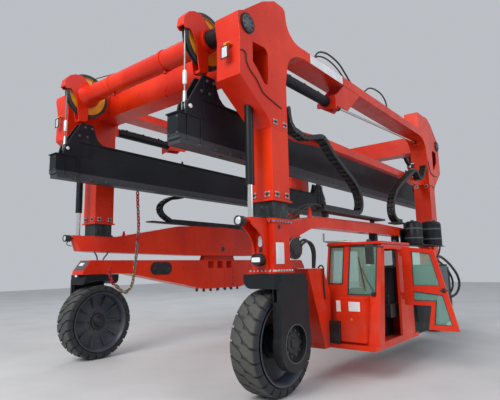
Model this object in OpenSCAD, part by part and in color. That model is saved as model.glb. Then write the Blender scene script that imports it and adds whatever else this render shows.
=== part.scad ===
/* [Layout] */
// Half the distance between the leg centre lines across the machine
side_x = 1935; // [1900:5:2000]
// Half the wheelbase, leg centre lines along the machine
leg_y = 3155; // [3100:5:3300]

/* [Legs] */
// Outer leg tube, square size
leg_w = 370; // [360:2:380]
// Wall of the outer leg tube
leg_wall = 12; // [8:1:14]
// Running gap between outer and inner leg tube
leg_gap = 8; // [6:1:12]
// Wall of the inner leg tube
inner_wall = 16; // [10:1:25]
// Underside of the outer leg tubes with the mast lowered
tube_z = 2320; // [2290:5:2360]
// Travel of the telescopic legs
lift_travel = 1500; // [1000:50:1500]
// Overlap of the tubes left at full lift
tube_overlap = 500; // [400:10:520]

/* [Base] */
// Top face of the base pillars and of the left beam's leg seats
base_top = 2105; // [2080:5:2140]
// Underside of the base pillars and of the rocker's ends
base_low = 1440; // [1420:5:1460]
// Square size of a base pillar
base_w = 340; // [320:5:350]
// Thickness of the bolted flanges
flange_t = 25; // [15:1:30]
// Reach of the flanges beyond the pillar, each side
flange_lip = 35; // [20:1:45]
// Distance of the lift cylinders from the leg centres
cyl_off = 394; // [380:2:410]
// Lift cylinder barrel diameter
barrel_d = 110; // [90:2:120]
// Lift cylinder rod diameter
rod_d = 70; // [50:2:80]

/* [Wheels] */
// Tyre diameter
tyre_dia = 1250; // [1200:5:1260]
// Tyre width
tyre_w = 375; // [340:5:385]
// Rim diameter seen beside the tyre
rim_dia = 1000; // [940:5:1020]
// Height of the tread lugs
lug_h = 16; // [8:1:24]
// Lugs round each shoulder of a tyre
lug_count = 24; // [16:1:30]
// Thickness of the fork's top plate
fork_top_t = 80; // [60:5:85]
// Gap between base and fork
slew_gap = 6; // [5:1:12]
// Inner face of the fork leg from the leg centre line
fork_in = 225; // [215:5:240]
// Outer face of the fork leg from the leg centre line
fork_out = 340; // [320:5:360]
// Half width of the fork leg
fork_half = 300; // [260:5:310]
// Radius of the opening for the drive motor in the fork leg
hub_r = 215; // [180:5:230]
// Hub diameter, the centre bore of the rims
hub_d = 280; // [276:1:284]
// Bolt circle of the rims
bolt_pcd = 335; // [330:1:340]
// Bolt holes in the rims
bolt_d = 26; // [22:1:30]
// Bolts that hold a rim
bolt_count = 10; // [8:1:12]

/* [Top frame] */
// Top of the corner heads
top_z = 5020; // [5000:5:5060]
// Underside of the long top beams
beam_low = 4455; // [4440:5:4480]
// Height of the long top beams
beam_h = 150; // [120:5:170]
// Underside of the cross beams
cross_low = 4185; // [4170:5:4220]
// Height of the cross beams
cross_h = 400; // [360:5:420]
// Step from the leg tubes' faces in to the cross beams' sides
cross_step = 5; // [2:1:20]
// Underside of the tie beams
tie_low = 3342; // [3320:2:3380]
// Height of the tie beams
tie_h = 130; // [100:5:160]
// Distance of the cross shafts from the leg centres
shaft_off = 626; // [616:2:640]
// Height of the cross shafts
shaft_z = 4440; // [4430:5:4450]
// Cross shaft diameter
shaft_d = 230; // [210:2:240]
// Carriage tube diameter
carr_d = 290; // [280:2:310]

/* [Hoist] */
// Half the distance between the two lifting beams
hoist_x = 1410; // [1400:5:1420]
// Sheave diameter
sheave_dia = 750; // [700:5:760]
// Sheave width
sheave_w = 70; // [60:2:80]
// Rope diameter
rope_d = 26; // [18:1:30]
// Half length of the lifting beams
lbeam_half = 4340; // [4300:10:4360]
// Width of the lifting beams' flanges
lbeam_w = 210; // [180:5:220]
// Underside of the lifting beams
lbeam_low = 2960; // [2940:5:2980]
// Height of the lifting beams
lbeam_h = 650; // [600:10:660]
// Bores in the lifting beams' chords for shackles and lock adapters
lbore_d = 50; // [40:2:60]
// Distance of the lifting beams' main web from the ropes
web_gap = 197; // [150:1:240]

/* [Left side] */
// Underside of the upper left beam
ub_low = 1785; // [1775:5:1800]
// Rise of the upper left beam's hump above its ends
ub_rise = 335; // [250:5:345]
// Top of the rocker
rocker_top = 1685; // [1660:5:1700]
// Underside of the rocker at mid length
rocker_low = 1055; // [1020:5:1150]
// Height of the rocker's pivot
pivot_z = 1939; // [1930:1:1950]
// Pivot pin diameter
pin_d = 110; // [90:2:130]
// Width of the two left side beams
sb_w = 350; // [320:5:360]

/* [Cab] */
// Outer face of the cab
cab_out = 2780; // [2740:5:2790]
// Inner face of the cab
cab_in = 1945; // [1940:5:1980]
// Front of the cab at the floor, behind the machine's middle
cab_front = 1980; // [1950:5:2000]
// Rear of the cab
cab_rear = 600; // [560:5:640]
// Underside of the cab's floor frame
cab_low = 410; // [390:5:440]
// Top of the cab's roof
cab_top = 1850; // [1830:5:1870]
// Lean of the windscreen over its height
cab_lean = 270; // [200:5:300]
// Wall of the cab
cab_t = 40; // [30:1:50]
// Thickness of the cab's glass
glass_t = 8; // [6:1:10]
// Rear edge of the doorway
door_y = 1110; // [1090:5:1130]
// Width of the door along its foot
door_w = 745; // [720:5:750]

/* [Hidden] */
$fn = 48;

paint = "orangered";
dark = "darkslategray";
steel = "silver";

// Gap where one piece is seated in or against another
seat = 0.3;
// Plate thickness of the box beams
box_t = 16;
inner_w = leg_w - 2 * leg_wall - 2 * leg_gap;
void_h = leg_w / 2 - leg_wall;
inner_top = tube_z + lift_travel + tube_overlap;
axle_z = tyre_dia / 2;
fork_top = base_low - slew_gap;
groove = 32;
rope_off = shaft_off + sheave_dia / 2 - groove + rope_d / 2 + seat;
beam_top = beam_low + beam_h;
leg_back = leg_y - leg_w / 2;

// Solid between two planes on each axis
module slab(x, y, z)
  translate([x[0], y[0], z[0]]) cube([x[1] - x[0], y[1] - y[0], z[1] - z[0]]);

// A shape drawn in Y and Z, carried along X
module along_x(x0, x1)
  translate([x0, 0, 0]) rotate([90, 0, 90]) linear_extrude(x1 - x0) children();

// A shape drawn in X and Z, carried along Y
module along_y(y0, y1)
  translate([0, y1, 0]) rotate([90, 0, 0]) linear_extrude(y1 - y0) children();

module rod_x(d, x0, x1)
  translate([x0, 0, 0]) rotate([0, 90, 0]) cylinder(d = d, h = x1 - x0);

module rod_y(d, y0, y1)
  translate([0, y1, 0]) rotate([90, 0, 0]) cylinder(d = d, h = y1 - y0);

// Children are built at a corner's leg centre, X outboard and Y towards the machine's end
module corner(sx, sy)
  translate([sx * side_x, sy * leg_y, 0])
    mirror([sx < 0 ? 1 : 0, 0, 0]) mirror([0, sy < 0 ? 1 : 0, 0]) children();

module both_ends(sx) {
  corner(sx, -1) children();
  corner(sx, 1) children();
}

// Points on an ellipse from angle a0 to a1
function arc(cy, cz, ry, rz, a0, a1, n) =
  [for (i = [0 : n]) let (a = a0 + (a1 - a0) * i / n) [cy + ry * cos(a), cz + rz * sin(a)]];

function flip_y(pts) = [for (p = pts) [-p[0], p[1]]];
function reversed(pts) = [for (i = [len(pts) - 1 : -1 : 0]) pts[i]];

// Outline made symmetric about the machine's middle from its half
function both_halves(pts) = concat(pts, reversed(flip_y(pts)));

pad_z = 60;
pad_h = 110;

module inner_leg() difference() {
  union() {
    translate([0, 0, (base_top + inner_top) / 2])
      cube([inner_w, inner_w, inner_top - base_top], center = true);
    translate([0, 0, base_top + flange_t / 2]) cube([leg_w, leg_w, flange_t], center = true);
  }
  translate([0, 0, (base_top + inner_top) / 2])
    cube([inner_w - 2 * inner_wall, inner_w - 2 * inner_wall, inner_top - base_top + 2], center = true);
}

module inner_legs_right() color(dark) both_ends(1) inner_leg();
module inner_legs_left() color(dark) both_ends(-1) inner_leg();

nose_w = 190;
nose_y = cyl_off + 106;
flange_h = base_w / 2 + flange_lip;
nose_top = base_top - flange_t;

// Curved side of the nose that carries the lift cylinder's foot
nose_outline = concat(
  [[base_w / 2 - 2, base_low + flange_t], [base_w / 2 + 30, base_low + flange_t]],
  reversed(arc(nose_y, base_low + 50, nose_y - base_w / 2 - 30, nose_top - base_low - 130, 100, 178, 6)),
  [[nose_y, nose_top - 50], [nose_y, nose_top], [base_w / 2 - 2, nose_top]]);

module base_pillar() {
  difference() {
    slab([-base_w / 2, base_w / 2], [-base_w / 2, base_w / 2], [base_low, base_top]);
    slab([-base_w / 2 + box_t, base_w / 2 - box_t], [-base_w / 2 + box_t, base_w / 2 - box_t],
      [base_low - 1, base_top - flange_t]);
  }
  difference() {
    slab([-flange_h, flange_h], [-flange_h, flange_h], [base_low, base_low + flange_t]);
    translate([0, 0, base_low - 1]) cylinder(d = 220, h = flange_t + 2);
  }
  slab([-flange_h, flange_h], [-flange_h, flange_h], [nose_top, base_top]);
  slab([-nose_w / 2, nose_w / 2], [flange_h - 1, nose_y], [nose_top, base_top]);
  difference() {
    along_x(-nose_w / 2, nose_w / 2) polygon(nose_outline);
    slab([-nose_w / 2 + box_t, nose_w / 2 - box_t], [base_w / 2 + 40, nose_y + 1], [base_low, nose_top - box_t]);
  }
}

module bases_right() color(paint) both_ends(1) base_pillar();

low_in = side_x - 110;
low_out = side_x + 120;
pillar_back = leg_y - base_w / 2;
low_flat = 2066;

// Height of the low beam's top over its flat length
function low_crown(y) = 2250 - 35 * abs(y) / 2120;

// Arched beam from pillar to pillar over the cab
low_over = [[-pillar_back, 1790], [-pillar_back, 2060], [-2700, 2110], [-2330, 2200], [-2120, low_crown(-2120)],
  [0, low_crown(0)]];
low_under = [[-2650, 1930], [-2330, 2040], [-2120, low_flat], [0, low_flat]];

module low_beam_right() color(paint) {
  difference() {
    along_x(low_in, low_out) polygon(concat(low_over, reversed(flip_y(low_over)), flip_y(low_under), reversed(low_under)));
    slab([low_in + box_t, low_out - box_t], [-2000, 2000], [low_flat + 20, 2200]);
    slab([side_x - 60, side_x + 60], [-600, -400], [low_flat - 10, low_flat + 30]);
  }
  along_x(low_out - 40, low_out - 20) polygon([[-2400, 2150], [-2280, 2150], [-2325, 2350], [-2355, 2350]]);
}

cab_floor_t = 60;
cab_base = cab_low + cab_floor_t;
cab_eaves = cab_top - cab_floor_t;
foot_y = -(cab_front + 105);
pack_front = -cab_rear + 160;

// Y of the windscreen's outer face at a height
function screen_y(z) = -(cab_front - cab_lean * (z - cab_base) / (cab_eaves - cab_base));

// Cab frame in plan and the box that carries it beside the wheel
module cab_floor() color(paint) {
  slab([cab_in - 240, cab_out], [foot_y, pack_front], [cab_low, cab_base]);
  slab([cab_in - 100, cab_in + 180], [foot_y - 155, foot_y + 1], [cab_low, cab_base]);
  along_x(cab_in - 185, cab_in + 180) polygon([[foot_y - 150, cab_base - 1], [-2610, 1485], [-2200, 1485],
    [-2030, 1150], [-2030, cab_base - 1]]);
}

win_z = [1150, 1740];
sill = [1230, 1120];
pane_x = [[cab_in + 60, cab_in + 270], [cab_in + 330, cab_out - 60]];

module sloped(x0, x1, z0, z1, d0, d1)
  along_x(x0, x1) polygon([[screen_y(z0) + d0, z0], [screen_y(z1) + d0, z1], [screen_y(z1) + d1, z1], [screen_y(z0) + d1, z0]]);

side_window = [[screen_y(win_z[0]) + 150, win_z[0]], [screen_y(win_z[1]) + 120, win_z[1]],
  [-cab_rear - 120, win_z[1]], [-cab_rear - 120, win_z[0]]];

hinge_x = cab_out + 26;
hinge_y = -(door_y - 30);
knuckle_z = [1010, 1640];
knuckle_h = 50;

module cab_body() color(paint) {
  difference() {
    union() {
      along_x(cab_in, cab_out) polygon([[-cab_front, cab_base], [screen_y(cab_eaves), cab_eaves],
        [-cab_rear, cab_eaves], [-cab_rear, cab_base]]);
      along_x(cab_in + 270, cab_out - 150) polygon([[-(cab_front + 60), 500], [-(cab_front + 60), 1080],
        [-(cab_front - 140), 1100], [-(cab_front - 140), 500]]);
    }
    along_x(cab_in + cab_t, cab_out - cab_t) polygon([[-cab_front + cab_t, cab_base - 1], [screen_y(cab_top) + cab_t, cab_top],
      [-cab_rear - cab_t, cab_top], [-cab_rear - cab_t, cab_base - 1]]);
    along_x(cab_out - cab_t - 1, cab_out + 1) polygon([[screen_y(cab_base + 30) + 190, cab_base + 30],
      [screen_y(win_z[1]) + 110, win_z[1]], [-door_y, win_z[1]], [-door_y, cab_base + 30]]);
    for (i = [0, 1]) sloped(pane_x[i][0], pane_x[i][1], sill[i], win_z[1], -80, 80);
    along_x(cab_in - 1, cab_in + cab_t + 1) polygon(side_window);
    slab([cab_in + 90, cab_out - 90], [-cab_rear - cab_t - 1, -cab_rear + 1], win_z);
  }
  for (z = knuckle_z) {
    slab([cab_out - 1, hinge_x], [hinge_y - 8, hinge_y + 8], [z + knuckle_h + seat, z + 2 * knuckle_h]);
    translate([hinge_x, hinge_y, z + knuckle_h + seat]) cylinder(r = 15, h = knuckle_h - seat);
  }
}

module cab_roof() color(paint) along_x(cab_in - 10, cab_out + 4) polygon([[screen_y(cab_eaves) - 30, cab_eaves],
  [screen_y(cab_eaves), cab_top], [-cab_rear - 10, cab_top], [-cab_rear + 10, cab_eaves]]);

module cab_glass() color("paleturquoise", 0.4) {
  for (i = [0, 1]) sloped(pane_x[i][0], pane_x[i][1], sill[i], win_z[1], 12, 12 + glass_t);
  along_x(cab_in + 14, cab_in + 14 + glass_t) polygon(side_window);
  slab([cab_in + 90, cab_out - 90], [-cab_rear - 22, -cab_rear - 22 + glass_t], win_z);
}

seat_x = (cab_in + cab_out) / 2 + 20;

module cab_seat() color("dimgray") {
  slab([seat_x - 170, seat_x + 170], [-1180, -880], [cab_base, 760]);
  slab([seat_x - 230, seat_x + 230], [-1290, -790], [760, 880]);
  along_x(seat_x - 220, seat_x + 220) polygon([[-880, 870], [-780, 870], [-700, 1450], [-790, 1450]]);
  slab([seat_x - 60, seat_x + 60], [-1720, -1620], [cab_base, 1080]);
  translate([seat_x, -1600, 1120]) rotate([-25, 0, 0]) {
    rotate_extrude() translate([170, 0]) circle(d = 26, $fn = 12);
    cube([340, 30, 16], center = true);
    translate([0, 0, -50]) cylinder(d = 60, h = 100, center = true);
  }
}

module cab_mirror() color("black") {
  slab([cab_out - 30, cab_out + 75], [-2190, -2160], [1530, 1785]);
  slab([cab_out + seat, cab_out + 20], [-2161, -1690], [1752, 1772]);
}

door_windows = [[[165, 1212], [165, 1700], [435, 1664], [520, 1212]],
  [[165, 1000], [165, 1130], [540, 1080], [625, 675], [425, 675], [465, 1000]]];

module cab_door() color(paint) translate([hinge_x, hinge_y, 0]) {
  along_y(-20, 20) difference() {
    polygon([[22, 934], [22, 1778], [500, 1718], [door_w, 600], [340, 600], [400, 934]]);
    for (w = door_windows) polygon(w);
  }
  for (z = knuckle_z) {
    translate([0, 0, z]) cylinder(r = 15, h = knuckle_h);
    slab([0, 23], [-8, 8], [z, z + knuckle_h]);
  }
}

module door_glass() color("paleturquoise", 0.4) translate([hinge_x, hinge_y, 0])
  along_y(-glass_t / 2, glass_t / 2) for (w = door_windows) polygon(w);

pack_in = cab_in - 100;
pack_out = cab_out - 130;
pack_low = 380;
pack_top = 1500;
pack_rear = 1900;
hangers = [40, 1100];

// Engine housing on its frame, hung from the low beam
module power_pack() color("dimgray") {
  difference() {
    slab([pack_in, pack_out], [pack_front, pack_rear], [pack_low, pack_top]);
    slab([pack_in + 40, pack_out - 40], [pack_front + 40, pack_rear - 40], [pack_low + 40, pack_top - 40]);
    slab([pack_in - 1, pack_in + 41], [200, 1700], [700, 1300]);
  }
  for (y = hangers) slab([pack_in + 10, pack_in + 130], [y - 60, y + 60], [pack_top - 1, low_flat - seat]);
}

module engine_block() color("dimgray") slab([2050, 2550], [200, 1300], [pack_low + 40, 1150]);
module side_tank() color("slategray") slab([pack_out, pack_out + 340], [-60, 620], [560, 1470]);

can_at = [[2250, 1200, 175, 465], [2285, 2250, 205, 530]];
shelf_z = 1890;
module canisters() color("black") {
  for (c = can_at) translate([c[0], c[1], shelf_z]) cylinder(r = c[2], h = c[3]);
  slab([low_out + seat, 2480], [1000, 2480], [shelf_z - 15, shelf_z + 1]);
  slab([low_out + seat, low_out + 14], [1000, 2480], [shelf_z - 15, 2180]);
}

barrel_low = tube_z + 190;
barrel_h = 1560;
gland = 40;

module lift_rod() translate([0, cyl_off, base_top]) cylinder(d = rod_d, h = barrel_low + barrel_h - 30 - base_top);
module lift_rods_right() color(steel) both_ends(1) lift_rod();
module lift_rods_left() color(steel) both_ends(-1) lift_rod();

module lift_barrels() color(dark) for (sx = [-1, 1]) both_ends(sx) translate([0, cyl_off, barrel_low]) difference() {
  cylinder(d = barrel_d, h = barrel_h);
  translate([0, 0, -1]) cylinder(d = rod_d + 2 * seat, h = gland + 2);
  translate([0, 0, gland]) cylinder(d = rod_d + 12, h = barrel_h - gland - 15);
}

tray_z = 2320;
chain_t = 70;

module tray_right() color("black") {
  slab([side_x + 45, side_x + 245], [-2190, 0], [tray_z - 30, tray_z]);
  for (y = [-1900, -200]) slab([side_x + 50, side_x + 110], [y - 30, y + 30], [low_crown(y + 30) + seat, tray_z - 29]);
}

function unit(v) = v / norm(v);

// Point beside a run of points, at a distance across it
function beside(pts, i, d) = let (
  u = unit(pts[max(i, 1)] - pts[max(i, 1) - 1]),
  v = unit(pts[min(i + 1, len(pts) - 1)] - pts[min(i + 1, len(pts) - 1) - 1]),
  n = unit(u + v)) pts[i] + d * [-n[1], n[0]];

// Flat band of links along a run of points
module link_run(pts, x0, x1, t) along_x(x0, x1) polygon(concat(
  [for (i = [0 : len(pts) - 1]) beside(pts, i, t / 2)],
  [for (i = [len(pts) - 1 : -1 : 0]) beside(pts, i, -t / 2)]));

run_z = tray_z + chain_t / 2 + 2;

module energy_chains_right() color("black") {
  link_run(concat([[-2290, 3376], [-2111, 3440], [-1909, 3370], [-1521, 3086], [-1308, 2880], [-1130, 2660]],
    arc(-1180, run_z + 130, 200, 130, 20, -90, 6), [[-2100, run_z]]), side_x + 60 + seat, side_x + 200, chain_t);
  link_run(concat([[2300, 3407], [1985, 3607], [1622, 3434], [1118, 3273], [533, 3011], [230, 2800]],
    arc(290, run_z + 150, 200, 150, 160, 270, 6), [[700, run_z]]), side_x + 60 + seat, side_x + 200, chain_t);
}

side_top = base_top + ub_rise;
beam_tip = leg_y + nose_y;
beam_foot = both_halves([[-beam_tip, base_top], [-beam_tip, base_top - 50], [-(leg_y + 400), ub_low + 60],
  [-(leg_y - 10), ub_low + 42], [-900, ub_low], [0, ub_low]]);
beam_hump = both_halves([[-(leg_y - 265), base_top - 1], [-(leg_y - 265), base_top], [-1340, base_top + ub_rise * 0.86],
  [-900, base_top + ub_rise * 0.95], [0, side_top]]);
lug_half = 60;
lug_foot = 260;

module side_beam_left() color(paint) translate([-side_x, 0, 0]) difference() {
  along_x(-sb_w / 2, sb_w / 2) union() {
    polygon(beam_foot);
    polygon(beam_hump);
  }
  difference() {
    along_x(-sb_w / 2 + box_t, sb_w / 2 - box_t) offset(delta = -box_t) union() {
      polygon(beam_foot);
      polygon(beam_hump);
    }
    translate([0, 0, pivot_z]) rod_x(pin_d + 80, -sb_w, sb_w);
  }
  slab([-lug_half - 6, lug_half + 6], [-lug_foot, lug_foot], [ub_low - 1, pivot_z + 150]);
  translate([0, 0, pivot_z]) rod_x(pin_d + 2 * seat, -sb_w, sb_w);
}

rocker_half = [[0, rocker_top], [-(leg_y + 220), rocker_top], [-(leg_y + 560), base_low + 45], [-(leg_y + 560), base_low],
  [-(leg_y - 555), base_low], [-700, rocker_low], [0, rocker_low]];
oval_y = 1820;
oval_z = 1520;

module rocker_left() color(paint) translate([-side_x, 0, 0]) difference() {
  union() {
    difference() {
      along_x(-sb_w / 2, sb_w / 2) polygon(both_halves(rocker_half));
      along_x(-sb_w / 2 + box_t, sb_w / 2 - box_t) offset(delta = -box_t) polygon(both_halves(rocker_half));
      for (s = [-1, 1]) along_x(-sb_w, sb_w) translate([s * oval_y, oval_z]) hull()
        for (d = [-150, 150]) translate([d, 0]) circle(r = 130, $fn = 24);
    }
    along_x(-lug_half, lug_half) polygon(both_halves([[-lug_foot, rocker_top - 1], [-150, pivot_z + 40],
      [-90, pivot_z + 120]]));
  }
  translate([0, 0, pivot_z]) rod_x(pin_d + 2 * seat, -sb_w, sb_w);
}

module rocker_pin() color(steel) translate([-side_x, 0, pivot_z]) rod_x(pin_d, -sb_w / 2 - 10, sb_w / 2 + 10);

chain_l = 64;
run_l = side_top + seat + 26 + chain_l / 2 + 2;
module tray_left() color("black") slab([-side_x - 40, -side_x + 160], [-2060, 1090], [side_top + seat, side_top + 26]);

module energy_chain_left() color("black")
  link_run(concat([[-650, tie_low - seat - chain_l / 2], [-820, tie_low - seat - chain_l / 2], [-1010, 3160], [-1150, 3062]],
    arc(-1365, run_l + 264, 462, 264, 75, 270, 12), [[1000, run_l]]), -side_x + 10, -side_x + 150, chain_l);

// Steered fork with its slewing ring, one leg outboard of the wheel, and the hub
module fork() {
  translate([0, 0, fork_top - fork_top_t]) intersection() {
    slab([-185, fork_out], [-330, 330], [0, fork_top_t]);
    cylinder(r = 430, h = fork_top_t);
  }
  translate([0, 0, fork_top - 1]) cylinder(r = 150, h = slew_gap + 1 - seat);
  difference() {
    along_x(fork_in, fork_out) {
      translate([-fork_half, axle_z]) square([2 * fork_half, fork_top - fork_top_t - axle_z + 1]);
      translate([0, axle_z]) circle(r = fork_half + 20);
    }
    translate([0, 0, axle_z]) rod_x(2 * hub_r, fork_in + 50, fork_out + 1);
  }
  translate([0, 0, axle_z]) {
    rod_x(hub_d, -75, fork_in + 51);
    rod_x(hub_d + 120, -35 + seat, 20);
  }
}

module fork_a() color(dark) corner(1, -1) fork();
module fork_b() color(dark) corner(-1, -1) fork();
module fork_c() color(dark) corner(1, 1) fork();
module fork_d() color(dark) corner(-1, 1) fork();

rim_r = rim_dia / 2;
seat_w = tyre_w / 2 - 25;
shoulder = 60;

module tyre() translate([0, 0, axle_z]) rotate([0, 90, 0]) {
  r = tyre_dia / 2;
  side = tyre_w / 2;
  rotate_extrude() polygon([[rim_r - 30, -seat_w], [rim_r, -seat_w], [rim_r, -side], [r - shoulder, -side],
    [r - lug_h, -side + 30], [r - lug_h, side - 30], [r - shoulder, side], [rim_r, side], [rim_r, seat_w], [rim_r - 30, seat_w]]);
  for (i = [0 : lug_count - 1], s = [-1, 1])
    rotate([0, 0, (i + (s > 0 ? 0.5 : 0)) * 360 / lug_count])
      translate([r - lug_h / 2 - 8, 0, s * (side - 75)]) cube([lug_h + 16, 75, 120], center = true);
}

module tyre_a() color("black") corner(1, -1) tyre();
module tyre_b() color("black") corner(-1, -1) tyre();
module tyre_c() color("black") corner(1, 1) tyre();
module tyre_d() color("black") corner(-1, 1) tyre();

// Rim with its bolted disc
module rim() translate([0, 0, axle_z]) rotate([0, 90, 0]) difference() {
  rotate_extrude() {
    translate([rim_r - 50, -seat_w]) square([20, 2 * seat_w]);
    for (z = [-seat_w - 18, seat_w]) translate([rim_r - 50, z]) square([50, 18]);
    translate([hub_d / 2 + seat, -60]) square([rim_r - 49 - hub_d / 2, 25]);
  }
  for (i = [0 : bolt_count - 1]) rotate([0, 0, i * 360 / bolt_count])
    translate([bolt_pcd / 2, 0, -61]) cylinder(d = bolt_d, h = 27);
}

module rim_a() color("slategray") corner(1, -1) rim();
module rim_b() color("slategray") corner(-1, -1) rim();
module rim_c() color("slategray") corner(1, 1) rim();
module rim_d() color("slategray") corner(-1, 1) rim();

eye_y = 340;
cyl_z = 4175;

head_outline = concat([[-leg_w / 2, 3250], [-leg_w / 2, 3950]],
  arc(-680, 4150, 450, beam_low - 4150, 5, 90, 6), [[-680, beam_top]],
  reversed(arc(-560, 4900, 335, 4900 - beam_top, -10, -90, 6)),
  [[-205, top_z - 30], [-150, top_z], [40, top_z], [307, 4885], [690, 4590], [790, 4540], [803, 4478],
    [766, 4262], [776, 3750], [233, 3350], [leg_w / 2, 3250]]);
head_hollow = [[210, 3390], [740, 3790], [735, 4250], [700, 4290], [210, 4290]];
head_slot = [[523, 4249], [245, 4215], [214, 4190], [214, 3850], [235, 3820], [300, 3816], [340, 3850]];

module upper_leg() {
  difference() {
    union() {
      slab([-leg_w / 2, leg_w / 2], [-leg_w / 2, leg_w / 2], [tube_z, 3600]);
      slab([-leg_w / 2 - 22, leg_w / 2 + 22], [-leg_w / 2 - 22, leg_w / 2 + 22], [tube_z, tube_z + flange_t]);
      along_x(-leg_w / 2, leg_w / 2) polygon(head_outline);
      slab([-60, 60], [-eye_y, -200], [cyl_z - 70, cyl_z + 70]);
    }
    slab([-void_h, void_h], [-void_h, void_h], [tube_z - 1, inner_top + 60]);
    along_x(-leg_w / 2 + 20, leg_w / 2 - 20) polygon(head_hollow);
    along_x(leg_w / 2 - 21, leg_w / 2 + 1) polygon(head_slot);
    translate([0, cyl_off, 3200]) cylinder(d = barrel_d + 2 * seat, h = 600);
    translate([0, shaft_off, shaft_z]) rod_x(shaft_d + 2 * seat, -leg_w, leg_w);
  }
  for (a = [0 : 90 : 270]) rotate([0, 0, a])
    slab([inner_w / 2 + seat, void_h + 1], [-90, 90], [tube_z + pad_z, tube_z + pad_z + pad_h]);
}

module upper_leg_a() color(paint) corner(1, -1) upper_leg();
module upper_leg_b() color(paint) corner(-1, -1) upper_leg();
module upper_leg_c() color(paint) corner(1, 1) upper_leg();
module upper_leg_d() color(paint) corner(-1, 1) upper_leg();

module tube_beam(x, y, z, t) difference() {
  slab(x, y, z);
  if (y[1] - y[0] > x[1] - x[0]) slab([x[0] + t, x[1] - t], [y[0] - 1, y[1] + 1], [z[0] + t, z[1] - t]);
  else slab([x[0] - 1, x[1] + 1], [y[0] + t, y[1] - t], [z[0] + t, z[1] - t]);
}

beam_half = leg_y - 680;
module top_beams() color(paint) for (s = [-1, 1]) translate([s * side_x, 0, 0])
  tube_beam([-leg_w / 2, leg_w / 2], [-beam_half, beam_half], [beam_low, beam_top], box_t);

cross_x = side_x - leg_w / 2;
cross_w = leg_w - 2 * cross_step;
module cross_beams() color(paint) for (s = [-1, 1]) translate([0, s * leg_y, 0])
  tube_beam([-cross_x, cross_x], [-cross_w / 2, cross_w / 2], [cross_low, cross_low + cross_h], box_t);

function tie_line(dz) = [[-leg_back, tie_low + 30 + dz], [-2700, tie_low - 20 + dz], [-2450, tie_low - 50 + dz],
  [-2200, tie_low - 30 + dz], [-1900, tie_low + dz], [0, tie_low + dz]];
tie_shape = concat(tie_line(tie_h), reversed(flip_y(tie_line(tie_h))), flip_y(tie_line(0)), reversed(tie_line(0)));
module tie_beams() color(paint) for (s = [-1, 1]) translate([s * side_x, 0, 0]) along_x(-60, 60) polygon(tie_shape);

shaft_end = side_x + leg_w / 2;
module cross_shafts() color(dark) for (s = [-1, 1]) translate([0, s * (leg_y + shaft_off), shaft_z]) {
  rod_x(shaft_d, -shaft_end, shaft_end);
  for (x = [-shaft_end - 17, shaft_end + 1]) rod_x(shaft_d + 20, x, x + 16);
  rod_x(shaft_d - 20, -shaft_end - 2, shaft_end + 2);
}

guard_x = sheave_w / 2 + 12;
module guard() for (x = [-guard_x - 16, guard_x]) along_x(x, x + 16) difference() {
  union() {
    circle(r = 190);
    rotate([0, 0, -25]) translate([-70, 100]) square([140, sheave_dia / 2 - 60]);
    translate([-60, -sheave_dia / 2]) square([120, 260]);
  }
  circle(d = shaft_d + 2 * seat);
}

module carriages() color(paint) for (s = [-1, 1]) translate([0, s * (leg_y + shaft_off), shaft_z])
  mirror([0, s > 0 ? 0 : 1, 0]) {
    difference() {
      rod_x(carr_d, -(hoist_x - guard_x), hoist_x - guard_x);
      rod_x(shaft_d + 2 * seat, -hoist_x, hoist_x);
    }
    for (x = [-hoist_x, hoist_x]) translate([x, 0, 0]) guard();
  }

sheave_r = sheave_dia / 2;
module sheave(sx, sy) translate([sx * hoist_x, sy * (leg_y + shaft_off), shaft_z]) rotate([0, 90, 0])
  rotate_extrude() difference() {
    translate([shaft_d / 2 + seat, -sheave_w / 2]) square([sheave_r - shaft_d / 2 - seat, sheave_w]);
    for (z = [14, -sheave_w / 2 - 1]) translate([175, z]) square([sheave_r - 235, sheave_w / 2 - 13]);
    polygon([[sheave_r - groove, -rope_d / 2], [sheave_r + 1, -rope_d / 2 - 10], [sheave_r + 1, rope_d / 2 + 10],
      [sheave_r - groove, rope_d / 2]]);
  }

module sheave_a() color("gold") sheave(1, -1);
module sheave_b() color("gold") sheave(-1, -1);
module sheave_c() color("gold") sheave(1, 1);
module sheave_d() color("gold") sheave(-1, 1);

cyl_end = leg_y - eye_y - seat;
module hoist_cylinders() color(dark) for (s = [-1, 1]) translate([s * side_x, 0, cyl_z]) {
  rod_y(110, -cyl_end, -1450);
  rod_y(50, -1451, cyl_end);
  for (x = [-80, 60]) along_x(x, x + 20) polygon([[-1850, -95], [-1200, -95], [-650, beam_low - cyl_z - seat],
    [-1150, beam_low - cyl_z - seat], [-1850, 20]]);
  slab([-61, 61], [-1600, -1500], [-90, 50]);
}

module valve_blocks() color("black") for (y = [-1250, -300, 900])
  slab([side_x - 110, side_x + 90], [y - 160, y + 160], [beam_top, beam_top + 130]);

lb_top = lbeam_low + lbeam_h;
rope_y = leg_y + rope_off;
lb_box = rope_y - web_gap;
chord_h = 120;
lbore_y = [2300, 3500];
rope_foot = lbeam_low + 510;

// Side plate of a rope hanger, from the rope's line and the beam's top
hanger = [[73, -275], [33, -110], [-232, 320], [-437, 320], [-482, 190], [-527, 90], [-597, 30], [-697, -15],
  [-697, -60], [-237, -275]];

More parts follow.
